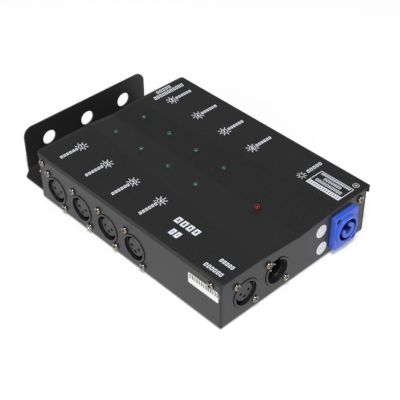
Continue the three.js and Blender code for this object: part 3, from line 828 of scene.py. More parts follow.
@dataclass
class Tray:
    """Folded sheet tray: four walls round a floor, with socket holes, corner seams and a proud upper band.

    Attributes:
        band_start: Height of the foot of the proud band, which steps out over band_ramp.
        spine: Half the length of the line on which the floor's rows end.
    """

    case: Case
    sheet: float = 1.2
    corner: float = 0.6
    fold: float = 0.6
    seam: float = 0.4
    seam_depth: float = 0.6
    seam_lip: float = 0.05
    hole: float = 12.4
    hole_reach: float = 14.5
    inlet_hole: float = 11.7
    band_start: float = 33.0
    band_ramp: float = 0.25
    band_proud: float = 0.2
    wall_gap: float = 1.2
    rim_row: float = 3.0
    spine: float = 60.0
    step: float = 6.0
    hole_steps: int = 20
    corner_steps: int = 6
    floor_steps: int = 4

    def columns(self) -> tuple[np.ndarray, np.ndarray, np.ndarray, dict]:
        """Walks round the plan of the walls and gives the grid's columns.

        Returns:
            The columns' running distance, their x and y, their outward directions, and each wall's middle.
        """
        distance, spots, outward, middles = [], [], [], {}
        run = 0.0
        for side in Side:
            long_wall = side in (Side.LEFT, Side.RIGHT)
            length = self.case.length if long_wall else self.case.width
            reach = (self.case.width if long_wall else self.case.length) / 2
            half = length / 2 - self.corner
            cells = [(place, self.hole_reach, self.hole_steps) for place, _, _ in self.openings(side)]
            along = levels(-half, half, self.step, cells)
            depth = np.zeros_like(along)
            if long_wall:
                gap = self.seam
                notch = np.array([0, self.seam_lip, gap - self.seam_lip, gap])
                inner = along[np.abs(along) < half - gap]
                along = np.concatenate([-half + notch, inner, half - notch[::-1]])
                dents = np.array([0, self.seam_depth, self.seam_depth, 0])
                depth = np.concatenate([dents, np.zeros_like(inner), dents])
            turn = side.value * math.pi / 2
            heading = np.array([math.cos(turn), math.sin(turn)])
            normal = np.array([math.sin(turn), -math.cos(turn)])
            arc = np.radians(np.linspace(0, 90, self.corner_steps + 1))[1:-1]
            flat = heading * along[:, None] + normal * (reach - depth)[:, None]
            bend_normal = normal * np.cos(arc)[:, None] + heading * np.sin(arc)[:, None]
            bend = heading * half + normal * (reach - self.corner) + self.corner * bend_normal
            middles[side] = run + half
            distance += list(run + half + along) + list(run + 2 * half + self.corner * arc)
            spots += [flat, bend]
            outward += [np.broadcast_to(normal, flat.shape), bend_normal]
            run += 2 * half + self.corner * math.pi / 2
        distance.append(run)
        spots = np.vstack([*spots, spots[0][:1]])
        outward = np.vstack([*outward, outward[0][:1]])
        return np.array(distance), spots, outward, middles

    def openings(self, side: Side) -> list[Triple]:
        """Gives the place, height and radius of each opening in a wall.

        Args:
            side: The wall.

        Returns:
            The openings, with their places from the wall's middle, seen from outside.
        """
        case = self.case
        if side is Side.FRONT:
            return [(place, case.front_axis, self.inlet_hole if name == "power_inlet" else self.hole)
                    for name, place in FRONT_PLACES.items()]
        sign = {Side.LEFT: -1, Side.RIGHT: 1, Side.REAR: 0}[side]
        return [(sign * place, case.axis, self.hole) for place in case.places if sign]

    def holes(self, middles: dict) -> list[Hole]:
        """Gives the holes for the sockets and the inlet.

        Args:
            middles: Running distance of each wall's middle.

        Returns:
            The holes on the unrolled walls.
        """
        reach = (self.hole_reach, self.hole_reach)
        return [Hole((middles[side] + place, height), radius, reach)
                for side in (Side.LEFT, Side.RIGHT, Side.FRONT)
                for place, height, radius in self.openings(side)]

    def rows(self) -> np.ndarray:
        """Gives the grid's rows: the lower fold, the cells of both socket heights, and the band.

        Returns:
            The rows' heights above the underside.
        """
        case = self.case
        low = min(case.axis, case.front_axis)
        high = max(case.axis, case.front_axis)
        fold = self.fold * (1 - np.cos(np.radians([0, 30, 60])))
        side = np.linspace(low - self.hole_reach, low + self.hole_reach, self.hole_steps + 1)
        front = np.linspace(high - self.hole_reach, high + self.hole_reach, self.hole_steps + 1)
        top = case.top - case.bottom - self.wall_gap
        band = [self.band_start, self.band_start + self.band_ramp, top - self.rim_row, top]
        return np.unique(np.round(np.concatenate([fold, [self.fold], side, front, band]), 4))

    def surface(self) -> Surface:
        """Builds the tray's outer skin.

        A wall point is the plan's point drawn in by the fold's inset, at its row's height, moved out by the
        band's step. The last row follows the cover's valley. The floor joins the lowest row to its middle.

        Returns:
            The open skin, facing outwards.
        """
        distance, spots, outward, middles = self.columns()
        rows = self.rows()
        flat, _ = punched(distance, rows, self.holes(middles))
        run, up = flat.points[:, 0], flat.points[:, 1]
        x, y = (np.interp(run, distance, spots[:, axis]) for axis in (0, 1))
        nx, ny = (np.interp(run, distance, outward[:, axis]) for axis in (0, 1))
        low = np.clip(1 - up / self.fold, 0, 1)
        inset = self.fold * (1 - np.sqrt(1 - low ** 2))
        inner_end = self.case.length / 2 - self.corner - self.seam
        on_band = (np.abs(nx) > 0.999) & (np.abs(y) < inner_end) & (up > self.band_start + self.band_ramp / 2)
        out = np.where(on_band, self.band_proud, 0) - inset
        x, y = x + nx * out, y + ny * out
        ramp = self.band_start + self.band_ramp
        share = np.clip((up - ramp) / (rows[-1] - ramp), 0, 1)
        height = self.case.bottom + up - share * self.case.dip(x, y)
        skin = Surface(np.column_stack([x, y + self.case.centre, height]), flat.faces)
        return skin + self.floor(spots - outward * self.fold)

    def floor(self, rim: np.ndarray) -> Surface:
        """Fills the floor: rows go from the rim to its foot on the middle line in equal shares.

        Args:
            rim: The lowest row's x and y.

        Returns:
            The floor, facing down.
        """
        spine = np.column_stack([np.zeros(len(rim)), np.clip(rim[:, 1], -self.spine, self.spine)])
        shares = np.linspace(0, 1, self.floor_steps + 1)[:, None, None]
        grid = rim[None] * (1 - shares) + spine[None] * shares
        height = np.full(grid.shape[:2] + (1,), self.case.bottom)
        grid = np.concatenate([grid + [0, self.case.centre], height], axis=2)
        return lattice(grid)

    def build(self) -> None:
        """Makes the tray."""
        make_piece("tray_shell", self.surface(), TRAY_PAINT, ["base_tray"], self.sheet)


@dataclass
class Cover:
    """Thin sheet cover: a shallow valley, a bend into a flared lip on each side, and holes for the lights.

    The right side, where the names begin with far, has a sharper bend and a deeper lip than the left.

    Attributes:
        side_step: How far the sheet passes the left wall.
        rear_less: How much shorter the sheet is at the rear than at the front, from rear_start on.
        rim: Drop of the lip's edge, which stands out by flare.
        kept: Distance from the crease up to which grid lines run straight, as they do past freed.
    """

    case: Case
    side_step: float = 0.5
    far_step: float = 0.95
    front_corner: float = 1.3
    far_corner: float = 2.2
    rear_corner: float = 3.0
    rear_less: float = 1.0
    rear_start: float = 92.0
    rim: float = 0.7
    bend: float = 1.5
    lip: float = 4.1
    far_lip: float = 7.0
    far_bend: float = 0.3
    flare: float = 0.35
    lamp_hole: float = 2.3
    power_hole: float = 2.7
    cell: float = 3.6
    power_cell: float = 4.6
    kept: float = 20.0
    freed: float = 72.0
    fold: float = 0.7
    margin: float = 1.2
    bend_turns: tuple[float, ...] = (0.0, 15.0, 30.0, 45.0, 60.0, 76.0)
    step: float = 5.0
    edge: float = 0.1

    def section(self, step: float, bend: float, lip: float) -> np.ndarray:
        """Gives the side of the sheet from the end of its flat to the lip's edge: distance, x and drop.

        The bend is an arc, from which the lip falls straight to the rim and then flares out to its edge.

        Args:
            step: How far the sheet passes the wall.
            bend: Radius of the bend.
            lip: Drop of the lip's edge.

        Returns:
            One row each for the distance, x and the drop.
        """
        flat = self.case.width / 2 + step - bend
        angle = np.radians(self.bend_turns)
        x = np.append(flat + bend * np.sin(angle), [flat + bend, flat + bend + self.flare])
        drop = np.append(bend * (1 - np.cos(angle)), [lip - self.rim, lip])
        run = flat + np.concatenate([[0], np.cumsum(np.hypot(np.diff(x), np.diff(drop)))])
        return np.array([run, x, drop])

    def holes(self) -> list[Hole]:
        """Gives the holes for the lights.

        Returns:
            The holes in the plan.
        """
        case = self.case
        reach = (self.cell, self.cell)
        found = [Hole((sign * case.lamp_line, place + case.lamp_shift), self.lamp_hole, reach)
                 for sign in (-1, 1) for place in case.places]
        return found + [Hole((0.0, case.power_place), self.power_hole, (self.power_cell, self.power_cell))]

    def surface(self) -> Surface:
        """Builds the sheet's upper skin.

        Across, a point follows the section; near the crease its x stays, and between the kept and the freed
        distance it is drawn in so that one grid line runs along the valley's narrowing edge. Its height is
        the flat top less the section's drop and the valley. Along, the outer columns are shortened by a round
        corner, and the rear end by an even share of rear_less.

        Returns:
            The open skin, facing up.
        """
        case = self.case
        run, path_x, path_drop = self.section(self.side_step, self.bend, self.lip)
        far_run, far_x, far_drop = self.section(self.far_step, self.far_bend, self.far_lip)
        front_half = case.front_valley[0]
        inner = levels(0, run[0], self.step, [
            (case.lamp_line, self.cell, 8),
            (front_half, self.fold, 2),
            (run[0] - self.margin, self.margin, 4),
        ])
        cell = np.linspace(0, self.power_cell, 5)[:-1]
        inner = np.concatenate([cell, inner[inner > self.power_cell - 0.1]])
        near_lines = np.unique(np.round(np.append(inner, run[1:]), 4))
        far_lines = np.unique(np.round(np.append(inner, far_run), 4))
        across = np.concatenate([-near_lines[:0:-1], far_lines])
        end = case.length / 2 + case.overhang
        marks = [(place + case.lamp_shift, self.cell, 8) for place in case.places]
        marks.append((case.power_place, self.power_cell, 8))
        flat, _ = punched(across, levels(-end, end, self.step, marks), self.holes())
        s, y = flat.points[:, 0], flat.points[:, 1]
        away, right = np.abs(s), s > 0
        half, _ = case.valley(y)
        near = self.kept + (away - self.kept) * (half - self.kept) / (front_half - self.kept)
        far = half + (away - front_half) * (self.freed - half) / (self.freed - front_half)
        drawn = np.where(away < self.kept, away, np.where(away < front_half, near, far))
        bent = np.where(right, np.interp(away, np.append(0, far_run), np.append(0, far_x)),
                        np.interp(away, np.append(0, run), np.append(0, path_x)))
        x = np.where(away < self.freed, drawn, bent)
        fall = np.where(right, np.interp(away, far_run, far_drop), np.interp(away, run, path_drop))
        corner = np.where(y < 0, np.where(right, self.far_corner, self.front_corner), self.rear_corner)
        past = np.clip(x - np.where(right, far_x[-1], path_x[-1]) + corner, 0, None)
        short = corner - np.sqrt(np.clip(corner ** 2 - past ** 2, 0, None))
        z = case.top - fall - case.dip(x, y)
        less = self.rear_less * np.clip((y - self.rear_start) / (end - self.rear_start), 0, 1)
        along = y * (1 - short / end) - less + case.centre
        return Surface(np.column_stack([np.sign(s) * x, along, z]), flat.faces)

    def build(self) -> None:
        """Makes the cover."""
        make_piece("cover_sheet", self.surface(), COVER_PAINT, ["top_cover"], self.case.sheet, self.edge)


@dataclass
class Bracket:
    """Hanging bracket: a flange under the case, folded up into a plate with three holes.

    Attributes:
        reach: Distance of the plate from the case's rear wall.
        splay: How much wider the flange is on each side, with a slope as long as diagonal.
        steady: Half the width within which the columns run straight.
    """

    case: Case
    sheet: float = 1.5
    width: float = 129.6
    height: float = 41.35
    reach: float = 36.7
    corner: float = 8.5
    hole: float = 6.5
    hole_height: float = 22.7
    hole_spacing: float = 40.5
    hole_cell: float = 9.0
    splay: float = 7.3
    diagonal: float = 6.3
    side: float = -0.5
    overlap: float = 28.0
    flange_hole: float = 2.25
    flange_hole_spacing: float = 115.5
    flange_hole_inset: float = 8.6
    flange_cell: float = 3.4
    inner_bend: float = 1.8
    steady: float = 50.0
    clear: float = 2.4
    rounding_turns: tuple[float, ...] = (15.0, 35.0, 55.0, 75.0)
    step: float = 6.0
    edge: float = 0.15

    def surface(self) -> Surface:
        """Builds the skin that faces the case.

        In the unrolled plan a point's x is stretched beyond the steady half width, so that the outer column
        follows the flange's sides, and the upper corners are rounded. The plan is then folded up on an arc.

        Returns:
            The open skin, facing up on the flange and towards the case on the plate.
        """
        face = self.case.length / 2 + self.reach
        start = self.case.length / 2 - self.overlap
        fold = face - self.inner_bend - start
        arc = self.inner_bend * math.pi / 2
        lift = fold + arc - self.sheet - self.inner_bend
        top = lift + self.height
        half = self.width / 2
        stretch = (half + self.splay - self.steady) / (half - self.steady)
        hole_line = lift + self.hole_height
        flange_line = face - self.flange_hole_inset - start
        flange_place = self.flange_hole_spacing / 2
        grid_place = self.steady + (flange_place - self.steady) / stretch
        across = levels(0, half, self.step, [
            (self.hole_spacing, self.hole_cell, 16),
            (grid_place, self.flange_cell / stretch, 8),
        ])
        rounding = half - self.corner * (1 - np.sin(np.radians(self.rounding_turns)))
        across = np.concatenate([
            np.linspace(0, self.hole_cell, 9)[:-1],
            across[across > self.hole_cell - 0.01],
            rounding[rounding > grid_place + self.clear],
        ])
        across = mirrored(np.unique(np.round(across, 4)))
        up = levels(0, top, self.step, [
            (flange_line, self.flange_cell, 8),
            (fold + arc / 2, arc / 2, 4),
            (hole_line, self.hole_cell, 16),
            (top - self.corner / 2, self.corner / 2, 8),
        ])

        def plan(lines: np.ndarray) -> np.ndarray:
            """Stretches the flange's columns and rounds the plate's upper corners.

            Args:
                lines: Pairs of grid values.

            Returns:
                The places in the unrolled plan.
            """
            x, v = np.abs(lines[:, 0]), lines[:, 1]
            edge = np.interp(v, [0, fold + self.inner_bend - self.diagonal, fold + self.inner_bend],
                             [half + self.splay, half + self.splay, half])
            wider = self.steady + (x - self.steady) * (edge - self.steady) / (half - self.steady)
            x = np.where(x > self.steady, wider, x)
            past_x, past_v = squared_corner(x - (half - self.corner), v - (top - self.corner), self.corner)
            return np.column_stack([np.sign(lines[:, 0]) * (past_x + half - self.corner),
                                    past_v + top - self.corner])

        holes = [Hole((count * self.hole_spacing, hole_line), self.hole, (self.hole_cell, self.hole_cell))
                 for count in (-1, 0, 1)]
        holes += [Hole((sign * flange_place, flange_line), self.flange_hole,
                       (self.flange_cell / stretch, self.flange_cell), (sign * grid_place, flange_line))
                  for sign in (-1, 1)]
        flat, _ = punched(across, up, holes, plan)
        v = flat.points[:, 1]
        bend = np.clip((v - fold) / arc, 0, 1) * math.pi / 2
        y = start + np.minimum(v, fold) + self.inner_bend * np.sin(bend)
        z = self.sheet + self.inner_bend * (1 - np.cos(bend)) + np.clip(v - fold - arc, 0, None)
        return Surface(np.column_stack([flat.points[:, 0] + self.side, y + self.case.centre, z]), flat.faces)

    def build(self) -> None:
        """Makes the bracket."""
        node = ["mounting_bracket"]
        make_piece("hanging_bracket", self.surface(), BRACKET_PAINT, node, self.sheet, self.edge)


@dataclass
class Socket:
    """Round three-contact socket: a ring through the wall, with a flange and a square body behind it."""

    nose: float = 11.9
    proud: float = 0.8
    edge: float = 0.35
    wall: float = 1.5
    flange: Triple = (26.0, 30.0, 2.0)
    body: float = 22.0
    depth: float = 24.0
    corner: float = 2.0
    contact_circle: float = 4.0
    sides: int = 96

    def rim(self, mouth: float) -> list[Pair]:
        """Gives the ring's profile from behind the wall to just inside its mouth.

        Args:
            mouth: Radius of the opening.

        Returns:
            Radius and height of each point.
        """
        outer = rounded_corner((self.nose - self.edge, self.proud - self.edge), self.edge, 0, 90)
        inner = rounded_corner((mouth + self.edge, self.proud - self.edge), self.edge, 90, 180)
        return [(self.nose, -self.wall - self.flange[2]), *outer, *inner]

    def back(self) -> Surface:
        """Builds the flange and the body behind the wall, from the ring's foot out and back to the axis.

        Each row holds the points at one angle: the ring's circle, the flange's outline, and the body's.

        Returns:
            The surface, open inside the ring.
        """
        width, height, thickness = self.flange
        step = self.wall + thickness
        flange = rounded_outline(width, height, self.corner)
        body = rounded_outline(self.body, self.body, self.corner)
        circle = flange / np.linalg.norm(flange, axis=1)[:, None] * self.nose
        rims = [(circle, -self.wall), (flange, -self.wall), (flange, -step), (body, -step),
                (body, -self.depth), (0 * body, -self.depth)]
        grid = np.stack([np.column_stack([rim, np.full(len(rim), z)]) for rim, z in rims[::-1]], axis=1)
        return lattice(grid, wrap=True)

    def contacts(self) -> list[Pair]:
        """Gives the places of the three contacts."""
        circle = self.contact_circle
        return [(circle, 0.0), (-circle, 0.0), (0.0, -circle)]


@dataclass
class FemaleSocket(Socket):
    """Socket with a deep ring-shaped groove round a core that has three contact holes.

    Attributes:
        cell: Half the cell round a contact hole, in degrees and along the radius, as face_step is.
        shade_start: How deep below the core's face, in edge radii, the smoother finish reaches; deeper faces
            are painted dark as shade.
    """

    mouth: float = 10.2
    groove: float = 12.0
    core: float = 7.8
    recess: float = 1.2
    hole: float = 1.35
    hole_depth: float = 8.0
    cell: Pair = (27.0, 1.8)
    face_step: Pair = (15.0, 1.2)
    first_turn: float = -45.0
    shade_start: float = 1.5

    def core_face(self) -> Surface:
        """Builds the core's face on a grid of angle and radius, with a closed hole for each contact.

        Returns:
            The face with its holes, open at its rim.
        """
        turns = [math.degrees(math.atan2(-y, x)) % 360 for x, y in self.contacts()]
        angle = levels(self.first_turn, self.first_turn + 360, self.face_step[0],
                       [(turn, self.cell[0], 8) for turn in turns])
        rings = levels(0, self.core - self.edge, self.face_step[1], [(self.contact_circle, self.cell[1], 6)])

        def plan(lines: np.ndarray) -> np.ndarray:
            """Turns clockwise degrees and a radius into x and y."""
            turn = np.radians(-lines[:, 0])
            return np.column_stack([lines[:, 1] * np.cos(turn), lines[:, 1] * np.sin(turn)])

        holes = [Hole(place, self.hole, self.cell, (turn, self.contact_circle))
                 for place, turn in zip(self.contacts(), turns)]
        face, rims = punched(angle, rings, holes, plan)
        return sleeves(face, rims, self.hole_depth).moved(lambda points: points - [0, 0, self.recess])

    def surface(self) -> Surface:
        """Builds the whole socket, facing +Z.

        Returns:
            The closed surface, with the deep parts marked for painted shade.
        """
        edge = rounded_corner((self.core - self.edge, -self.recess - self.edge), self.edge, 0, 90)
        groove = [(self.mouth, -self.groove), (self.core, -self.groove), *edge]
        ring = turned(self.rim(self.mouth) + groove, self.sides)
        whole = ring + self.core_face() + self.back()
        # Faces deeper than the core's rounded edge are painted dark as shade.
        return whole.painted_shade_below(-self.recess - self.shade_start * self.edge)

    def build(self, name: str, seat: Seat, node: str) -> None:
        """Makes the socket on its seat, in the place of a CAD node."""
        make_piece(name, self.surface().moved(seat.put), SOCKET_NYLON, [node], second=SOCKET_PAINTED_SHADE)


@dataclass
class MaleSocket(Socket):
    """Socket with an open well that narrows at a ledge, a keyway at its top and three tapered pins."""

    mouth: float = 10.2
    well: float = 9.0
    ledge: float = 3.6
    ledge_edge: float = 0.45
    well_depth: float = 14.0
    keyway: Notch = Notch(95.0, 16.5, -8.0, 12.5)
    pin: float = 1.3
    pin_tip: float = 5.5
    pin_root: float = 0.5
    pin_sides: int = 24
    taper: float = 0.9

    def surface(self) -> Surface:
        """Builds the socket without its pins, facing +Z.

        Returns:
            The closed surface, with the well marked for painted shade.
        """
        edge = self.ledge_edge
        ledge = rounded_corner((self.well + edge, -self.ledge - edge), edge, 90, 180)
        well = [(self.mouth, -self.ledge), *ledge, (self.well, -self.well_depth), (0.0, -self.well_depth)]
        ring = turned(self.rim(self.mouth) + well, self.sides, [self.keyway])
        # Everything below the rim's rounding, the well and the keyway's floor, is painted dark as shade.
        return (ring + self.back()).painted_shade_below(-self.edge)

    def pins(self) -> Surface:
        """Builds the three pins with round tapered tips.

        Returns:
            The pins, open inside the well's floor.
        """
        tip = rounded_corner((0.0, -self.pin_tip - self.taper), self.taper, 0, 90, 6)
        shoulder = -self.pin_tip - 2 * self.taper
        profile = [(self.pin, -self.well_depth - self.pin_root), (self.pin, shoulder), *tip[1:]]
        pin = turned(profile, self.pin_sides)
        return joined([placed(pin, *place) for place in self.contacts()])

    def build(self, seat: Seat) -> None:
        """Makes the input socket and its pins.

        Args:
            seat: The socket's place.
        """
        shell = self.surface().moved(seat.put)
        make_piece("input_shell", shell, SOCKET_NYLON, ["input_socket"], second=WELL_NYLON_PAINTED_SHADE)
        pins = [f"input_pin_{count}" for count in (1, 2, 3)]
        make_piece("input_contacts", self.pins().moved(seat.put), SILVER, pins)


@dataclass
class Inlet:
    """Twist-lock power inlet: a square flange, a round collar, and a split core in a ring-shaped groove.

    Attributes:
        reach: Distance of the collar's face from the wall.
        open_radius: Radius within which the flange's face is open.
        core_shade_line: Height under which the core's sides take the duller finish, painted navy as shade.
        narrowest: Share of its width that the core has at its very ends.
    """

    size: Triple = (25.8, 31.2, 4.7)
    corner: float = 2.0
    edge: float = 0.6
    screw_place: Pair = (9.8, 12.3)
    sink: float = 2.45
    sink_depth: float = 3.0
    sink_cell: Pair = (2.48, 2.68)
    collar: float = 12.05
    reach: float = 6.6
    collar_edge: float = 0.8
    mouth: float = 9.6
    mouth_edge: float = 0.5
    groove: float = 11.3
    core: float = 6.7
    core_proud: float = 0.5
    core_edge: float = 0.45
    bore: float = 3.2
    slot: float = 4.8
    slot_turn: float = 123.0
    notch_half: float = 15.0
    notch_radius: float = 10.6
    notch_depth: float = 1.6
    notch_turn: float = 84.0
    notch_wall: float = 0.02
    latch: Pair = (10.1, 10.5)
    latch_sunk: float = 0.2
    latch_proud: float = 0.05
    latch_room: float = 1.0
    latch_steps: int = 8
    open_radius: float = 11.3
    core_shade_line: float = 6.3
    narrowest: float = 0.02
    core_steps: int = 60
    end_steps: int = 8
    collar_root: float = 0.5
    barrel: float = 11.4
    barrel_depth: float = 22.0
    screw_lifts: Pair = (3.3, 1.7)
    screw_turn: float = 20.0
    step: float = 2.0
    sides: int = 96

    def flange(self) -> Surface:
        """Builds the flange: a face with two sunk holes, and a skirt with a round edge down to the wall.

        Returns:
            The surface, open at the wall and inside the collar.
        """
        width, height, thickness = self.size
        half_x, half_y = width / 2 - self.edge, height / 2 - self.edge
        x, y = self.screw_place
        half_lines = [levels(0, half, self.step, [(place, reach, 8)])
                      for half, place, reach in zip((half_x, half_y), (x, y), self.sink_cell)]
        across, up = [mirrored(lines) for lines in half_lines]
        centre = np.array([half_x - self.corner, half_y - self.corner])

        def plan(lines: np.ndarray) -> np.ndarray:
            """Rounds the four corners."""
            past = squared_corner(*(np.abs(lines) - centre).T, self.corner)
            return np.sign(lines) * (np.column_stack(past) + centre)

        holes = [Hole((sign * x, -sign * y), self.sink, self.sink_cell) for sign in (-1, 1)]
        face, rims = punched(across, up, holes, plan)
        rows = len(up)
        index = np.arange(len(across) * rows).reshape(len(across), rows)
        loop = np.concatenate([index[:-1, 0], index[-1, :-1], index[:0:-1, -1], index[0, :0:-1]])
        rim = face.points[loop, :2]
        along = np.roll(rim, -1, axis=0) - np.roll(rim, 1, axis=0)
        outward = np.column_stack([along[:, 1], -along[:, 0]]) / np.linalg.norm(along, axis=1)[:, None]
        profile = [(0.0, 0.0), *rounded_corner((0.0, -self.edge), self.edge, 90, 0), (self.edge, -thickness)]
        skirt = np.stack([np.column_stack([rim + outward * out, np.full(len(rim), drop)])
                          for out, drop in profile[::-1]], axis=1)
        whole = sleeves(face, rims, self.sink_depth) + lattice(skirt, wrap=True)
        return whole.opened(self.open_radius).moved(lambda points: points + [0, 0, thickness])

    def collar_ring(self) -> Surface:
        """Builds the barrel, the collar with its notch, and the groove, which is marked for painted shade.

        Returns:
            The closed surface.
        """
        top = self.reach
        edge, inner_edge = self.collar_edge, self.mouth_edge
        outer = rounded_corner((self.collar - edge, top - edge), edge, 0, 90)
        inner = rounded_corner((self.mouth + inner_edge, top - inner_edge), inner_edge, 90, 180)
        shoulder = self.size[2] - self.collar_root
        floor = top - self.groove
        profile = [
            (0.0, -self.barrel_depth), (self.barrel, -self.barrel_depth), (self.barrel, shoulder),
            (self.collar, shoulder), *outer, (self.notch_radius, top),
            (self.notch_radius - self.notch_wall, top), *inner, (self.mouth, floor), (0.0, floor),
        ]
        notch = Notch(self.notch_turn, self.notch_half, top - self.notch_depth, self.notch_radius)
        # The groove's walls and floor below the collar's shoulder are painted navy as shade.
        return turned(profile, self.sides, [notch]).painted_shade_below(shoulder - self.mouth_edge)

    def split_core(self) -> Surface:
        """Builds the core: a section with round upper edges carried round the axis, with round ends.

        Towards an end the section's width shrinks as a half circle does.

        Returns:
            The closed surface.
        """
        half = (self.core - self.bore) / 2
        middle = self.bore + half
        top = self.reach + self.core_proud
        floor = self.reach - self.groove
        edge = self.core_edge
        outline = np.array([
            (-half, floor), (half, floor), (half, self.core_shade_line),
            *rounded_corner((half - edge, top - edge), edge, 0, 90),
            *rounded_corner((-half + edge, top - edge), edge, 90, 180), (-half, self.core_shade_line),
        ])
        gap = math.asin(self.slot / 2 / middle)
        sweep = 2 * math.pi - 2 * gap
        cap = half / middle
        ease = cap * (1 - np.cos(np.linspace(0, math.pi / 2, self.end_steps + 1)))
        middle_turns = np.linspace(cap, sweep - cap, self.core_steps + 1)[1:-1]
        turn = np.concatenate([ease, middle_turns, sweep - ease[::-1]])
        left = np.minimum(turn, sweep - turn)
        width = np.sqrt(np.clip(1 - np.clip(1 - left / cap, 0, 1) ** 2, self.narrowest ** 2, 1))
        angle = turn + gap + math.radians(self.slot_turn)
        side = np.column_stack([np.cos(angle), np.sin(angle)])
        # The core's sides below the line given for them are painted navy as shade.
        return swept(outline, middle * side, side * width[:, None]).painted_shade_below(self.core_shade_line)

    def latch_plate(self) -> Surface:
        """Builds the thin bright plate that stands along the notch.

        Each point is (r cos a, r sin a, h): the angle a runs over the notch, and r and h over a box section.

        Returns:
            The surface, open at its two ends.
        """
        inner, outer = self.latch
        low = self.reach - self.notch_depth - self.latch_sunk
        high = self.reach + self.latch_proud
        section = np.array([(inner, low), (outer, low), (outer, high), (inner, high), (inner, low)])
        half = self.notch_half - self.latch_room
        turns = np.linspace(self.notch_turn - half, self.notch_turn + half, self.latch_steps + 1)
        angle = np.radians(turns)[:, None]
        return lattice(spun(*section.T, angle))

    def build(self, seat: Seat) -> None:
        """Makes the inlet's shell, its core, its latch plate and its two screws.

        Args:
            seat: The inlet's place.
        """
        shell = self.flange() + self.collar_ring()
        make_piece("inlet_shell", shell.moved(seat.put), INLET_NYLON, ["power_inlet"], second=INLET_PAINTED_SHADE)
        make_piece("inlet_core", self.split_core().moved(seat.put), INLET_NYLON, second=INLET_PAINTED_SHADE)
        make_piece("inlet_latch_plate", self.latch_plate().moved(seat.put), SILVER)
        across, up = self.screw_place
        dark = PanScrew(radius=2.2, height=1.2, length=7.0, arm=0.45, span=1.2)
        for count, (sign, lift) in enumerate(zip((-1, 1), self.screw_lifts), 1):
            spot = seat.shifted(sign * across, -sign * up)
            turn = self.screw_turn * count
            dark.build(f"dark_screw_{count}", spot, f"inlet_screw_{count}", BLACK_OXIDE, turn, lift)


@dataclass
class PanScrew:
    """Pan-head screw: a domed head with a cross recess.

    Attributes:
        arm: Half the width of an arm of the cross, which reaches out to span.
        fine: Where the head's finer rings begin, of the span.
    """

    radius: float = 2.8
    height: float = 2.0
    shank: float = 1.4
    length: float = 6.0
    rim_share: float = 0.45
    arm: float = 0.75
    span: float = 1.2
    recess: float = 0.9
    ramp: float = 0.22
    fine: float = 1.1
    rings: tuple[int, int] = (7, 15)
    sides: int = 56

    def surface(self) -> Surface:
        """Builds the screw, its head's seat at zero.

        The head's height is its rim plus the rest times root(1 - (r/R)^4). Inside the cross it is lower by
        the recess times the distance from the cross's edge over the ramp, at most once, and marked for
        painted shade, as is the head's side.

        Returns:
            The closed surface.
        """
        middle = self.span * self.fine
        rings = np.concatenate([np.linspace(self.radius, middle, self.rings[0] + 1)[:-1],
                                np.linspace(middle, 0, self.rings[1] + 1)])
        angle = np.linspace(0, 2 * math.pi, self.sides, endpoint=False)[:, None]
        x, y = np.abs(rings * np.cos(angle)), np.abs(rings * np.sin(angle))
        crown = np.sqrt(np.clip(1 - (rings / self.radius) ** 4, 0, 1))
        dome = self.height * (self.rim_share + (1 - self.rim_share) * crown)
        level = np.maximum(np.minimum(self.arm - x, self.span - y), np.minimum(self.span - x, self.arm - y))
        sunk = np.clip(level / self.ramp, 0, 1)
        head = spun(rings, dome - self.recess * sunk, angle)
        below = [(0.0, -self.length), (self.shank, -self.length), (self.shank, 0.0), (self.radius, 0.0)]
        under = spun(*np.array(below).T, angle)
        # The head's side is marked for a painted dark reflection, and the cross recess for painted shade.
        side = np.zeros((self.sides, len(below)), bool)
        side[:, -1] = True
        recess_shade = sunk > 0.0
        recess_shade[:, 0] = True
        marks = np.concatenate([side, recess_shade], axis=1)
        return lattice(np.concatenate([under, head], axis=1), wrap=True, marks=marks)

    def build(self, name: str, seat: Seat, node: str, finish: Finish, turn: float, lift: float = 0.0) -> None:
        """Makes one screw.

        Args:
            name: The piece's name.
            seat: Its place.
            node: The CAD node that it stands for.
            finish: Its finish.
            turn: How far its cross is turned, in degrees.
            lift: Height of its seat above the wall.
        """
        spin = np.array(Matrix.Rotation(math.radians(turn), 3, "Z"))
        surface = self.surface().moved(lambda points: points @ spin.T + [0, 0, lift])
        make_piece(name, surface.moved(seat.put), finish, [node], second=SCREW_PAINTED_SHADE)


@dataclass
class Lamp:
    """Indicator light: a tinted domed lens with two leads."""

    radius: float = 2.2
    proud: float = 1.45
    length: float = 4.8
    rim: float = 0.3
    rim_height: float = 1.0
    lead: float = 0.5
    lead_spacing: float = 2.54
    board: float = 31.0
    sides: int = 32

    def surface(self, tip: float) -> Surface:
        """Builds the light about Z.

        Args:
            tip: Height of its tip.

        Returns:
            The closed surfaces.
        """
        base = tip - self.length
        dome = rounded_corner((0.0, tip - self.radius), self.radius, 0, 90, 8)
        foot = [(0.0, base), (self.radius + self.rim, base), (self.radius + self.rim, base + self.rim_height),
                (self.radius, base + self.rim_height)]
        result = turned(foot + dome, self.sides)
        for sign in (-1, 1):
            x = sign * self.lead_spacing / 2
            half = self.lead / 2
            result = result + block((x - half, -half, self.board), (x + half, half, base + half))
        return result

    def build(self, name: str, case: Case, x: float, y: float, node: str, finish: Finish) -> None:
        """Makes one light.

        Args:
            name: The piece's name.
            case: The case, which gives the cover's height.
            x: Its place across.
            y: Its place along, from the middle of the case.
            node: The CAD node that it stands for.
            finish: Its finish.
        """
        tip = float(case.top - case.dip(np.array(x), np.array(y)) + self.proud)
        surface = self.surface(tip).moved(lambda points: points + [x, y + case.centre, 0])
        make_piece(name, surface, finish, [node])


# Prints


# How much bolder a figure's strokes are, of the font's size, and the width of a box in a row, of its pitch.
STROKE_WEIGHT = 0.03
BOX_SHARE = 0.73


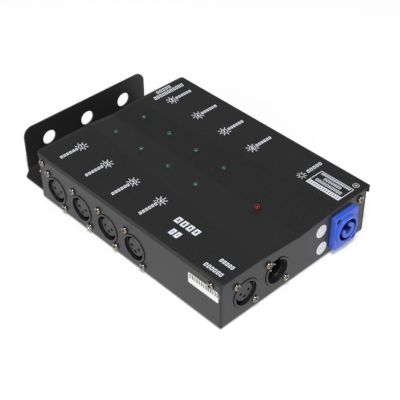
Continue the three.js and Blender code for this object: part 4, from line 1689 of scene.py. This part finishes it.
def digit(text: str, height: float) -> Surface:
    """Makes a plain leaning figure from Blender's own font, flat and centred on the origin.

    Args:
        text: The figure.
        height: Its height.

    Returns:
        The flat surface, facing up.
    """
    curve = bpy.data.curves.new("figure", "FONT")
    curve.body = text
    curve.shear = LEAN
    curve.offset = STROKE_WEIGHT
    curve.resolution_u = 4
    figure = bpy.data.objects.new("figure", curve)
    mesh = bpy.data.meshes.new_from_object(figure)
    points = np.empty(len(mesh.vertices) * 3)
    mesh.vertices.foreach_get("co", points)
    faces = [list(polygon.vertices) for polygon in mesh.polygons]
    bpy.data.objects.remove(figure)
    bpy.data.curves.remove(curve)
    bpy.data.meshes.remove(mesh)
    points = points.reshape(-1, 3)
    low, high = points.min(axis=0), points.max(axis=0)
    return Surface((points - (low + high) / 2) * height / (high[1] - low[1]), faces)


def bar(x: float, y: float, width: float, height: float, lean: float = 0.0) -> Surface:
    """Makes a flat bar.

    Args:
        x: Place of its middle across.
        y: Place of its middle along.
        width: Its size across.
        height: Its size along.
        lean: How far its top leans to the right, of its height.

    Returns:
        The flat surface, facing up.
    """
    u = np.array([-0.5, 0.5, 0.5, -0.5])
    v = np.array([-0.5, -0.5, 0.5, 0.5])
    points = np.column_stack([x + u * width + v * height * lean, y + v * height, 0 * u])
    return Surface(points, [[0, 1, 2, 3]])


def ring(radius: float, width: float, sides: int = 40) -> Surface:
    """Makes a flat ring whose line has the given radius and width."""
    return turned([(radius + width / 2, 0.0), (radius - width / 2, 0.0)], sides)


def turned_flat(surface: Surface, degrees: float) -> Surface:
    """Turns a flat surface about the origin."""
    spin = np.array(Matrix.Rotation(math.radians(degrees), 3, "Z"))
    return surface.moved(lambda points: points @ spin.T)


def placed(surface: Surface, x: float, y: float) -> Surface:
    """Shifts a flat surface to a place."""
    return surface.moved(lambda points: points + [x, y, 0])


def row(width: float, height: float, count: int, lean: float = LEAN, line: float = 0.7) -> Surface:
    """Makes a centred row of plain hollow boxes in a word's place.

    Args:
        width: Full width of the row.
        height: Its height.
        count: How many boxes it has.
        lean: How far the boxes lean to the right.
        line: Width of their lines.

    Returns:
        The flat surface.
    """
    pitch = width / count
    box = pitch * BOX_SHARE
    parts = []
    for place in range(count):
        x = (place + 0.5) * pitch - width / 2
        rise = (height - line) / 2
        parts += [bar(x + sign * rise * lean, sign * rise, box, line, lean) for sign in (-1, 1)]
        parts += [bar(x + sign * (box - line) / 2, 0, line, height - 2 * line, lean) for sign in (-1, 1)]
    return joined(parts)


@dataclass
class CoverPrint:
    """White print on the cover: rings with rays, plain numbers, rows of plain boxes and a framed band.

    Attributes:
        sun_shift: Distance of the left and of the right rings from the sockets' places.
        power_mark: Place and scale of the power light's ring.
        power_word: Distance of its row, and the row's width, height and boxes.
        block: Place and size of the first block in the frame's band.
        rows: Place, width, height, boxes, turn, lean and line of the other rows.
    """

    case: Case
    sun_place: float = 48.1
    sun_shift: Pair = (1.7, 0.6)
    sun_side: float = -0.4
    sun_ring: float = 2.55
    sun_line: float = 0.55
    ray_start: float = 3.4
    ray_end: float = 5.3
    ray_width: float = 0.7
    figure: float = 3.3
    word: Pair = (17.8, 2.9)
    word_boxes: int = 6
    word_line: float = 0.75
    word_gap: float = 0.2
    power_mark: Triple = (49.7, -61.2, 0.76)
    power_word: tuple[float, float, float, int] = (14.4, 17.0, 3.1, 5)
    bars: Table = (
        (58.0, -68.4, 13.9, 0.6), (58.0, -99.95, 13.9, 0.6), (64.65, -84.18, 0.6, 30.95),
        (47.0, -84.18, 0.9, 32.15), (50.6, -84.18, 0.9, 32.15),
    )
    block: tuple[float, ...] = (48.8, -68.9, 2.7, 1.4)
    block_pitch: float = 2.18
    block_count: int = 15
    rows: Table = (
        (54.3, -84.2, 25.5, 2.9, 10, -90, 0, 0.5), (58.8, -84.2, 17.0, 2.7, 7, -90, 0, 0.5),
        (62.6, -84.2, 28.5, 2.0, 14, -90, 0, 0.5),
        (53.0, 100.3, 16.4, 3.6, 5, 0, LEAN, 0.7), (54.2, 94.9, 33.0, 4.2, 11, 0, LEAN, 0.7),
        (-71.7, -89.6, 18.0, 3.6, 6, 90, 0, 0.7), (-61.2, -92.3, 13.6, 3.4, 5, 90, 0, 0.7),
        (-53.7, -44.2, 25.0, 6.4, 4, 90, 0, 1.6), (-65.3, -43.8, 10.4, 6.4, 2, 90, 0, 1.6),
    )
    disc: Pair = (69.9, -97.9)
    disc_ring: Pair = (2.4, 0.4)
    disc_bars: Table = ((0, -0.7, 2.2, 0.4), (0, 0.5, 1.0, 1.2))
    ink: float = 0.03

    def sun(self, rays: Sequence[float], scale: float = 1.0) -> Surface:
        """Builds a ring with rays.

        Args:
            rays: The rays' angles in degrees.
            scale: Size of the whole, of the usual one.

        Returns:
            The flat surface.
        """
        start, end = self.ray_start * scale, self.ray_end * scale
        ray = bar((start + end) / 2, 0, end - start, self.ray_width * scale)
        circle = ring(self.sun_ring * scale, self.sun_line * scale)
        return joined([circle, *[turned_flat(ray, angle) for angle in rays]])

    def outputs(self) -> Surface:
        """Builds the eight numbered rings with a row of boxes on their outer side, where no ray stands.

        Returns:
            The flat surface.
        """
        parts = []
        for sign in (-1, 1):
            rays = [45.0 * count for count in range(8) if math.cos(math.radians(45 * count)) * sign < 0.9]
            away = self.ray_start + self.word_gap + self.word[0] / 2
            word = placed(row(*self.word, self.word_boxes, line=self.word_line), sign * away, 0)
            for count, place in enumerate(self.case.places, 1):
                number = count + (len(self.case.places) if sign > 0 else 0)
                mark = self.sun(rays) + digit(str(number), self.figure)
                shift = self.sun_shift[sign > 0]
                parts.append(placed(mark + word, sign * self.sun_place + self.sun_side, place + shift))
        return joined(parts)

    def notes(self) -> Surface:
        """Builds the other marks: the power light's, the frame with its band, the rows and the small ring.

        Returns:
            The flat surface.
        """
        x, y, scale = self.power_mark
        away, *word = self.power_word
        rays = [45.0 * count for count in range(8)]
        power = placed(self.sun(rays, scale) + placed(row(*word), away, 0), x, y)
        blocks = [placed(bar(*self.block), 0, -self.block_pitch * count) for count in range(self.block_count)]
        rows = [placed(turned_flat(row(wide, high, boxes, lean, line), turn), x, y)
                for x, y, wide, high, boxes, turn, lean, line in self.rows]
        disc = placed(joined([ring(*self.disc_ring), *[bar(*sizes) for sizes in self.disc_bars]]), *self.disc)
        return joined([power, *[bar(*sizes) for sizes in self.bars], *blocks, *rows, disc])

    def build(self) -> None:
        """Makes the print as a thin layer that follows the cover."""

        def onto(points: np.ndarray) -> np.ndarray:
            """Lifts flat points onto the cover's skin, by its flat top less the valley and plus the ink."""
            x, y = points[:, 0], points[:, 1]
            return np.column_stack([x, y + self.case.centre, self.case.top - self.case.dip(x, y) + self.ink])

        make_piece("cover_marks", self.outputs().moved(onto), WHITE_INK, thickness=2 * self.ink)
        make_piece("cover_notes", self.notes().moved(onto), WHITE_INK, thickness=2 * self.ink)


@dataclass
class Stickers:
    """Paper label on the left wall and two round stickers on the front wall, with plain marks.

    Attributes:
        stroke: Width of the thinnest stroke and what each step adds, as gap is for the gaps.
        stroke_share: Height and place of the strokes, of the label's height.
    """

    case: Case
    label: Pair = (30.2, 9.6)
    label_place: Pair = (85.55, 28.65)
    label_corner: float = 1.0
    label_back: float = 0.02
    paper: float = 0.32
    bevel: float = 0.05
    margin: float = 1.5
    strokes: int = 21
    stroke: Pair = (0.45, 0.35)
    gap: Pair = (0.4, 0.3)
    stroke_share: Pair = (0.42, 0.24)
    disc: float = 5.5
    disc_height: float = 0.13
    discs: tuple[Pair, ...] = ((26.5, 28.2), (28.4, 10.4))
    mark_ring: Pair = (3.4, 0.5)
    mark_bar: Pair = (4.2, 0.9)
    ink: float = 0.03

    def bar_marks(self) -> Surface:
        """Builds the label's strokes: their widths and gaps step round three values as they go along.

        Returns:
            The flat surface.
        """
        width, height = self.label
        tall, rise = (share * height for share in self.stroke_share)
        parts = []
        place = -width / 2 + self.margin
        for count in range(self.strokes):
            stroke = self.stroke[0] + self.stroke[1] * (count * 7 % 3)
            parts.append(bar(place + stroke / 2, rise, stroke, tall))
            place += stroke + self.gap[0] + self.gap[1] * (count * 5 % 3)
        return joined(parts)

    def build(self) -> None:
        """Makes the papers and their print."""
        case = self.case
        seat = case.seat(Side.LEFT, *self.label_place)
        paper = rounded_plate(*self.label, self.label_corner, self.label_back, self.paper, self.bevel)
        lift = self.paper + self.ink
        make_piece("side_label", paper.moved(seat.put), LABEL_PAPER)
        lines = self.bar_marks().moved(lambda points: seat.put(points + [0, 0, lift]))
        make_piece("side_label_bars", lines, LABEL_PRINT, thickness=2 * self.ink)
        rounds, marks = [], []
        radius, top = self.disc, self.disc_height
        profile = [(0.0, 0.0), (radius, 0.0), (radius, top - self.bevel), (radius - self.bevel, top),
                   (0.0, top)]
        mark = ring(*self.mark_ring) + bar(0, 0, *self.mark_bar)
        for x, z in self.discs:
            front = case.seat(Side.FRONT, x, z)
            rounds.append(turned(profile, 48).moved(front.put))
            marks.append(mark.moved(lambda points, front=front: front.put(points + [0, 0, top + self.ink])))
        make_piece("round_stickers", joined(rounds), LABEL_PAPER)
        make_piece("round_sticker_marks", joined(marks), DISC_PRINT, thickness=2 * self.ink)


# Studio


@dataclass
class Studio:
    """Camera, white floor and soft light.

    Attributes:
        heading: The camera's heading clockwise from +Y, as fall is below the level, in degrees.
        sky: Grey of the sky as light.
        glow: What is added to the floor's white where it shows.
        key: Watts of the light overhead, as fill is of the one on the left.
    """

    lens: float = 91.47
    place: Triple = (-426.24, -466.82, 524.79)
    heading: float = 43.369
    fall: float = 39.446
    roll: float = -0.279
    sky: float = 0.4
    floor_white: float = 0.8
    glow: float = 0.25
    key: float = 37.0
    key_place: Triple = (-620.0, -750.0, 2200.0)
    key_size: float = 440.0
    fill: float = 5.2
    fill_place: Triple = (-1450.0, -450.0, 550.0)
    fill_size: float = 800.0
    floor_half: float = 3000.0
    floor_drop: float = 0.05
    ceiling: float = 2500.0
    ceiling_half: float = 6200.0
    ceiling_grey: float = 0.02
    matt: float = 0.9
    aim: float = 20.0
    sensor: float = 36.0
    farthest: float = 50.0

    def camera(self) -> None:
        """Places the camera by its heading from +Y, its fall and its roll."""
        lens = bpy.data.cameras.new("camera")
        lens.lens = self.lens
        lens.sensor_width = self.sensor
        lens.clip_end = self.farthest
        camera = bpy.data.objects.new("camera", lens)
        turn = (Matrix.Rotation(math.radians(-self.heading), 4, "Z")
                @ Matrix.Rotation(math.radians(90 - self.fall), 4, "X")
                @ Matrix.Rotation(math.radians(self.roll), 4, "Z"))
        camera.matrix_world = Matrix.Translation(Vector(self.place) * MM) @ turn
        bpy.context.scene.collection.objects.link(camera)
        bpy.context.scene.camera = camera

    def shown(self, tree: bpy.types.NodeTree) -> bpy.types.NodeSocket:
        """Gives a factor that is 1 where the camera looks, in reflections and through clear pieces.

        Args:
            tree: The node tree that takes the nodes.

        Returns:
            The factor's socket.
        """
        path = add_node(tree, "ShaderNodeLightPath")
        factor = path.outputs["Is Camera Ray"]
        for kind in ("Is Glossy Ray", "Is Transmission Ray"):
            factor = add_node(tree, "ShaderNodeMath", {"operation": "MAXIMUM"},
                              {0: factor, 1: path.outputs[kind]}).outputs[0]
        return factor

    def world(self) -> None:
        """Makes the sky: white to the camera, in reflections and through clear pieces, softer as light."""
        world = bpy.data.worlds.new("studio")
        bpy.context.scene.world = world
        world.use_nodes = True
        tree = world.node_tree
        tree.nodes.clear()
        colour = add_node(tree, "ShaderNodeMix", {"data_type": "RGBA"}, {
            "Factor": self.shown(tree),
            6: (self.sky, self.sky, self.sky, 1.0),
            7: (1.0, 1.0, 1.0, 1.0),
        })
        back = add_node(tree, "ShaderNodeBackground", None, {"Color": colour.outputs[2], "Strength": 1.0})
        add_node(tree, "ShaderNodeOutputWorld", None, {"Surface": back.outputs["Background"]})

    def sheet(self, name: str, paint_name: str, corners: Sequence[Pair], height: float,
              grey: float) -> tuple[bpy.types.Object, bpy.types.Material]:
        """Makes a level matt sheet of the studio.

        Args:
            name: The sheet's name.
            paint_name: Its material's name.
            corners: Its corners' x and y in millimetres.
            height: Its height in millimetres.
            grey: Its grey.

        Returns:
            The sheet and its material.
        """
        mesh = bpy.data.meshes.new(name)
        mesh.from_pydata([(x * MM, y * MM, 0) for x, y in corners], [], [(0, 1, 2, 3)])
        sheet = bpy.data.objects.new(name, mesh)
        sheet.location.z = height * MM
        bpy.context.scene.collection.objects.link(sheet)
        paint = bpy.data.materials.new(paint_name)
        paint.use_nodes = True
        inputs = paint.node_tree.nodes["Principled BSDF"].inputs
        inputs["Base Color"].default_value = (grey, grey, grey, 1)
        inputs["Roughness"].default_value = self.matt
        inputs["Specular IOR Level"].default_value = 0.0
        mesh.materials.append(paint)
        return sheet, paint

    def floor(self) -> None:
        """Makes the pale floor, lifted to white where it shows but not in the light that it throws back."""
        half = self.floor_half
        corners = [(-half, -half), (half, -half), (half, half), (-half, half)]
        _, paint = self.sheet("studio_floor", "studio_paper", corners, -self.floor_drop, self.floor_white)
        inputs = paint.node_tree.nodes["Principled BSDF"].inputs
        inputs["Emission Color"].default_value = (1, 1, 1, 1)
        lift = add_node(paint.node_tree, "ShaderNodeMath", {"operation": "MULTIPLY"},
                        {0: self.shown(paint.node_tree), 1: self.glow})
        paint.node_tree.links.new(lift.outputs[0], inputs["Emission Strength"])

    def dark_ceiling(self) -> None:
        """Makes the studio's dark ceiling, which shows only as a reflection and makes flat tops darker."""
        half, grey = self.ceiling_half, self.ceiling_grey
        corners = [(-half, -half), (-half, half), (half, half), (half, -half)]
        ceiling, _ = self.sheet("studio_ceiling", "studio_ceiling_paint", corners, self.ceiling, grey)
        for ray in ("camera", "diffuse", "transmission", "shadow"):
            setattr(ceiling, f"visible_{ray}", False)

    def lights(self) -> None:
        """Makes one soft light overhead and a weak one on the left, at which the side label reads white."""
        for name, energy, size, place in (("softbox", self.key, self.key_size, self.key_place),
                                          ("fill", self.fill, self.fill_size, self.fill_place)):
            light = bpy.data.lights.new(name, "AREA")
            light.energy = energy
            light.size = size * MM
            softbox = bpy.data.objects.new(name, light)
            softbox.location = Vector(place) * MM
            aim = Vector((0, 0, self.aim)) * MM - softbox.location
            softbox.rotation_euler = aim.to_track_quat("-Z", "Y").to_euler()
            bpy.context.scene.collection.objects.link(softbox)

    def build(self) -> None:
        """Makes the studio."""
        bpy.context.scene.view_settings.view_transform = "Standard"
        self.camera()
        self.world()
        self.floor()
        self.dark_ceiling()
        self.lights()


# How far each socket screw's cross is turned past the one before, and each cover screw's, in degrees.
TURN_STEP = 37
COVER_TURN_STEP = 25


def build_sockets(case: Case) -> None:
    """Makes the ten round sockets, the inlet and all their screws.

    Args:
        case: The case with the sockets' places.
    """
    sides = case.side_seats()
    for count, seat in enumerate(sides, 1):
        FemaleSocket().build(f"output_{count}_shell", seat, f"output_socket_{count}")
    thru = case.seat(Side.FRONT, FRONT_PLACES["thru_socket"], case.front_axis)
    entry = case.seat(Side.FRONT, FRONT_PLACES["input_socket"], case.front_axis)
    inlet = case.seat(Side.FRONT, FRONT_PLACES["power_inlet"], case.inlet_axis)
    FemaleSocket().build("thru_shell", thru, "thru_socket")
    MaleSocket().build(entry)
    Inlet().build(inlet)
    across, up = SCREW_PLACE
    number = 0
    for seat in [*sides, thru, entry]:
        for sign in (-1, 1):
            number += 1
            spot = seat.shifted(sign * across, -sign * up)
            turn = number * TURN_STEP % 90
            PanScrew().build(f"pan_screw_{number}", spot, f"socket_screw_{number}", NICKEL, turn)


@dataclass
class CoverScrews:
    """The cover's four screws: two in the left wall and one in each end wall.

    Attributes:
        screws: Wall, distance from its left end or, below zero, from its right one, further drop, head
            radius, and height of the seat above the wall.
    """

    case: Case
    drop: float = 8.6
    screws: tuple[tuple[Side, float, float, float, float], ...] = (
        (Side.LEFT, -9.8, 0.0, 2.8, 0.04), (Side.LEFT, 4.6, 0.0, 2.8, 0.04),
        (Side.FRONT, -7.5, 1.5, 3.1, 0.0), (Side.REAR, 7.5, 0.0, 2.8, 0.0),
    )

    def build(self) -> None:
        """Makes the screws."""
        case = self.case
        height = case.top - case.bottom - self.drop
        for count, (side, inset, lower, radius, lift) in enumerate(self.screws, 1):
            half = (case.length if side is Side.LEFT else case.width) / 2
            seat = case.seat(side, half + inset if inset < 0 else inset - half, height - lower)
            turn = COVER_TURN_STEP * count
            screw = PanScrew(radius=radius)
            screw.build(f"cover_pan_screw_{count}", seat, f"cover_screw_{count}", NICKEL, turn, lift)


def build_lamps(case: Case) -> None:
    """Makes the eight output lights and the power light.

    Args:
        case: The case with the lights' places.
    """
    places = [(sign * case.lamp_line, place + case.lamp_shift) for sign in (-1, 1) for place in case.places]
    for number, (x, y) in enumerate(places, 1):
        Lamp().build(f"green_light_{number}", case, x, y, f"output_lamp_{number}", GREEN_EPOXY)
    red = Lamp(radius=2.5, proud=3.2, length=8.6)
    red.build("red_light", case, case.power_side, case.power_place, "power_lamp", RED_EPOXY)


def dress_inner_nodes() -> None:
    """Gives the pieces that stay as CAD solids their finishes."""
    finishes = {
        "bracket_screw_1": NICKEL,
        "bracket_screw_2": NICKEL,
        "front_foot": RUBBER,
        "main_board": LAMINATE,
        "signal_chip": CHIP_EPOXY,
        "power_module": MODULE_CASE,
        "fuse_holder": FUSE_MOULDING,
    }
    for node, finish in finishes.items():
        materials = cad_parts[node].data.materials
        materials.clear()
        materials.append(finish.material())
        log.info("dressed %s", node)


def main() -> None:
    """Builds the pieces in order and reports each one."""
    logging.basicConfig(level=logging.INFO, format="%(name)s: %(message)s")
    case = Case()
    Tray(case).build()
    Cover(case).build()
    Bracket(case).build()
    build_sockets(case)
    CoverScrews(case).build()
    build_lamps(case)
    dress_inner_nodes()
    CoverPrint(case).build()
    Stickers(case).build()
    Studio().build()


if __name__ == "__main__":
    main()
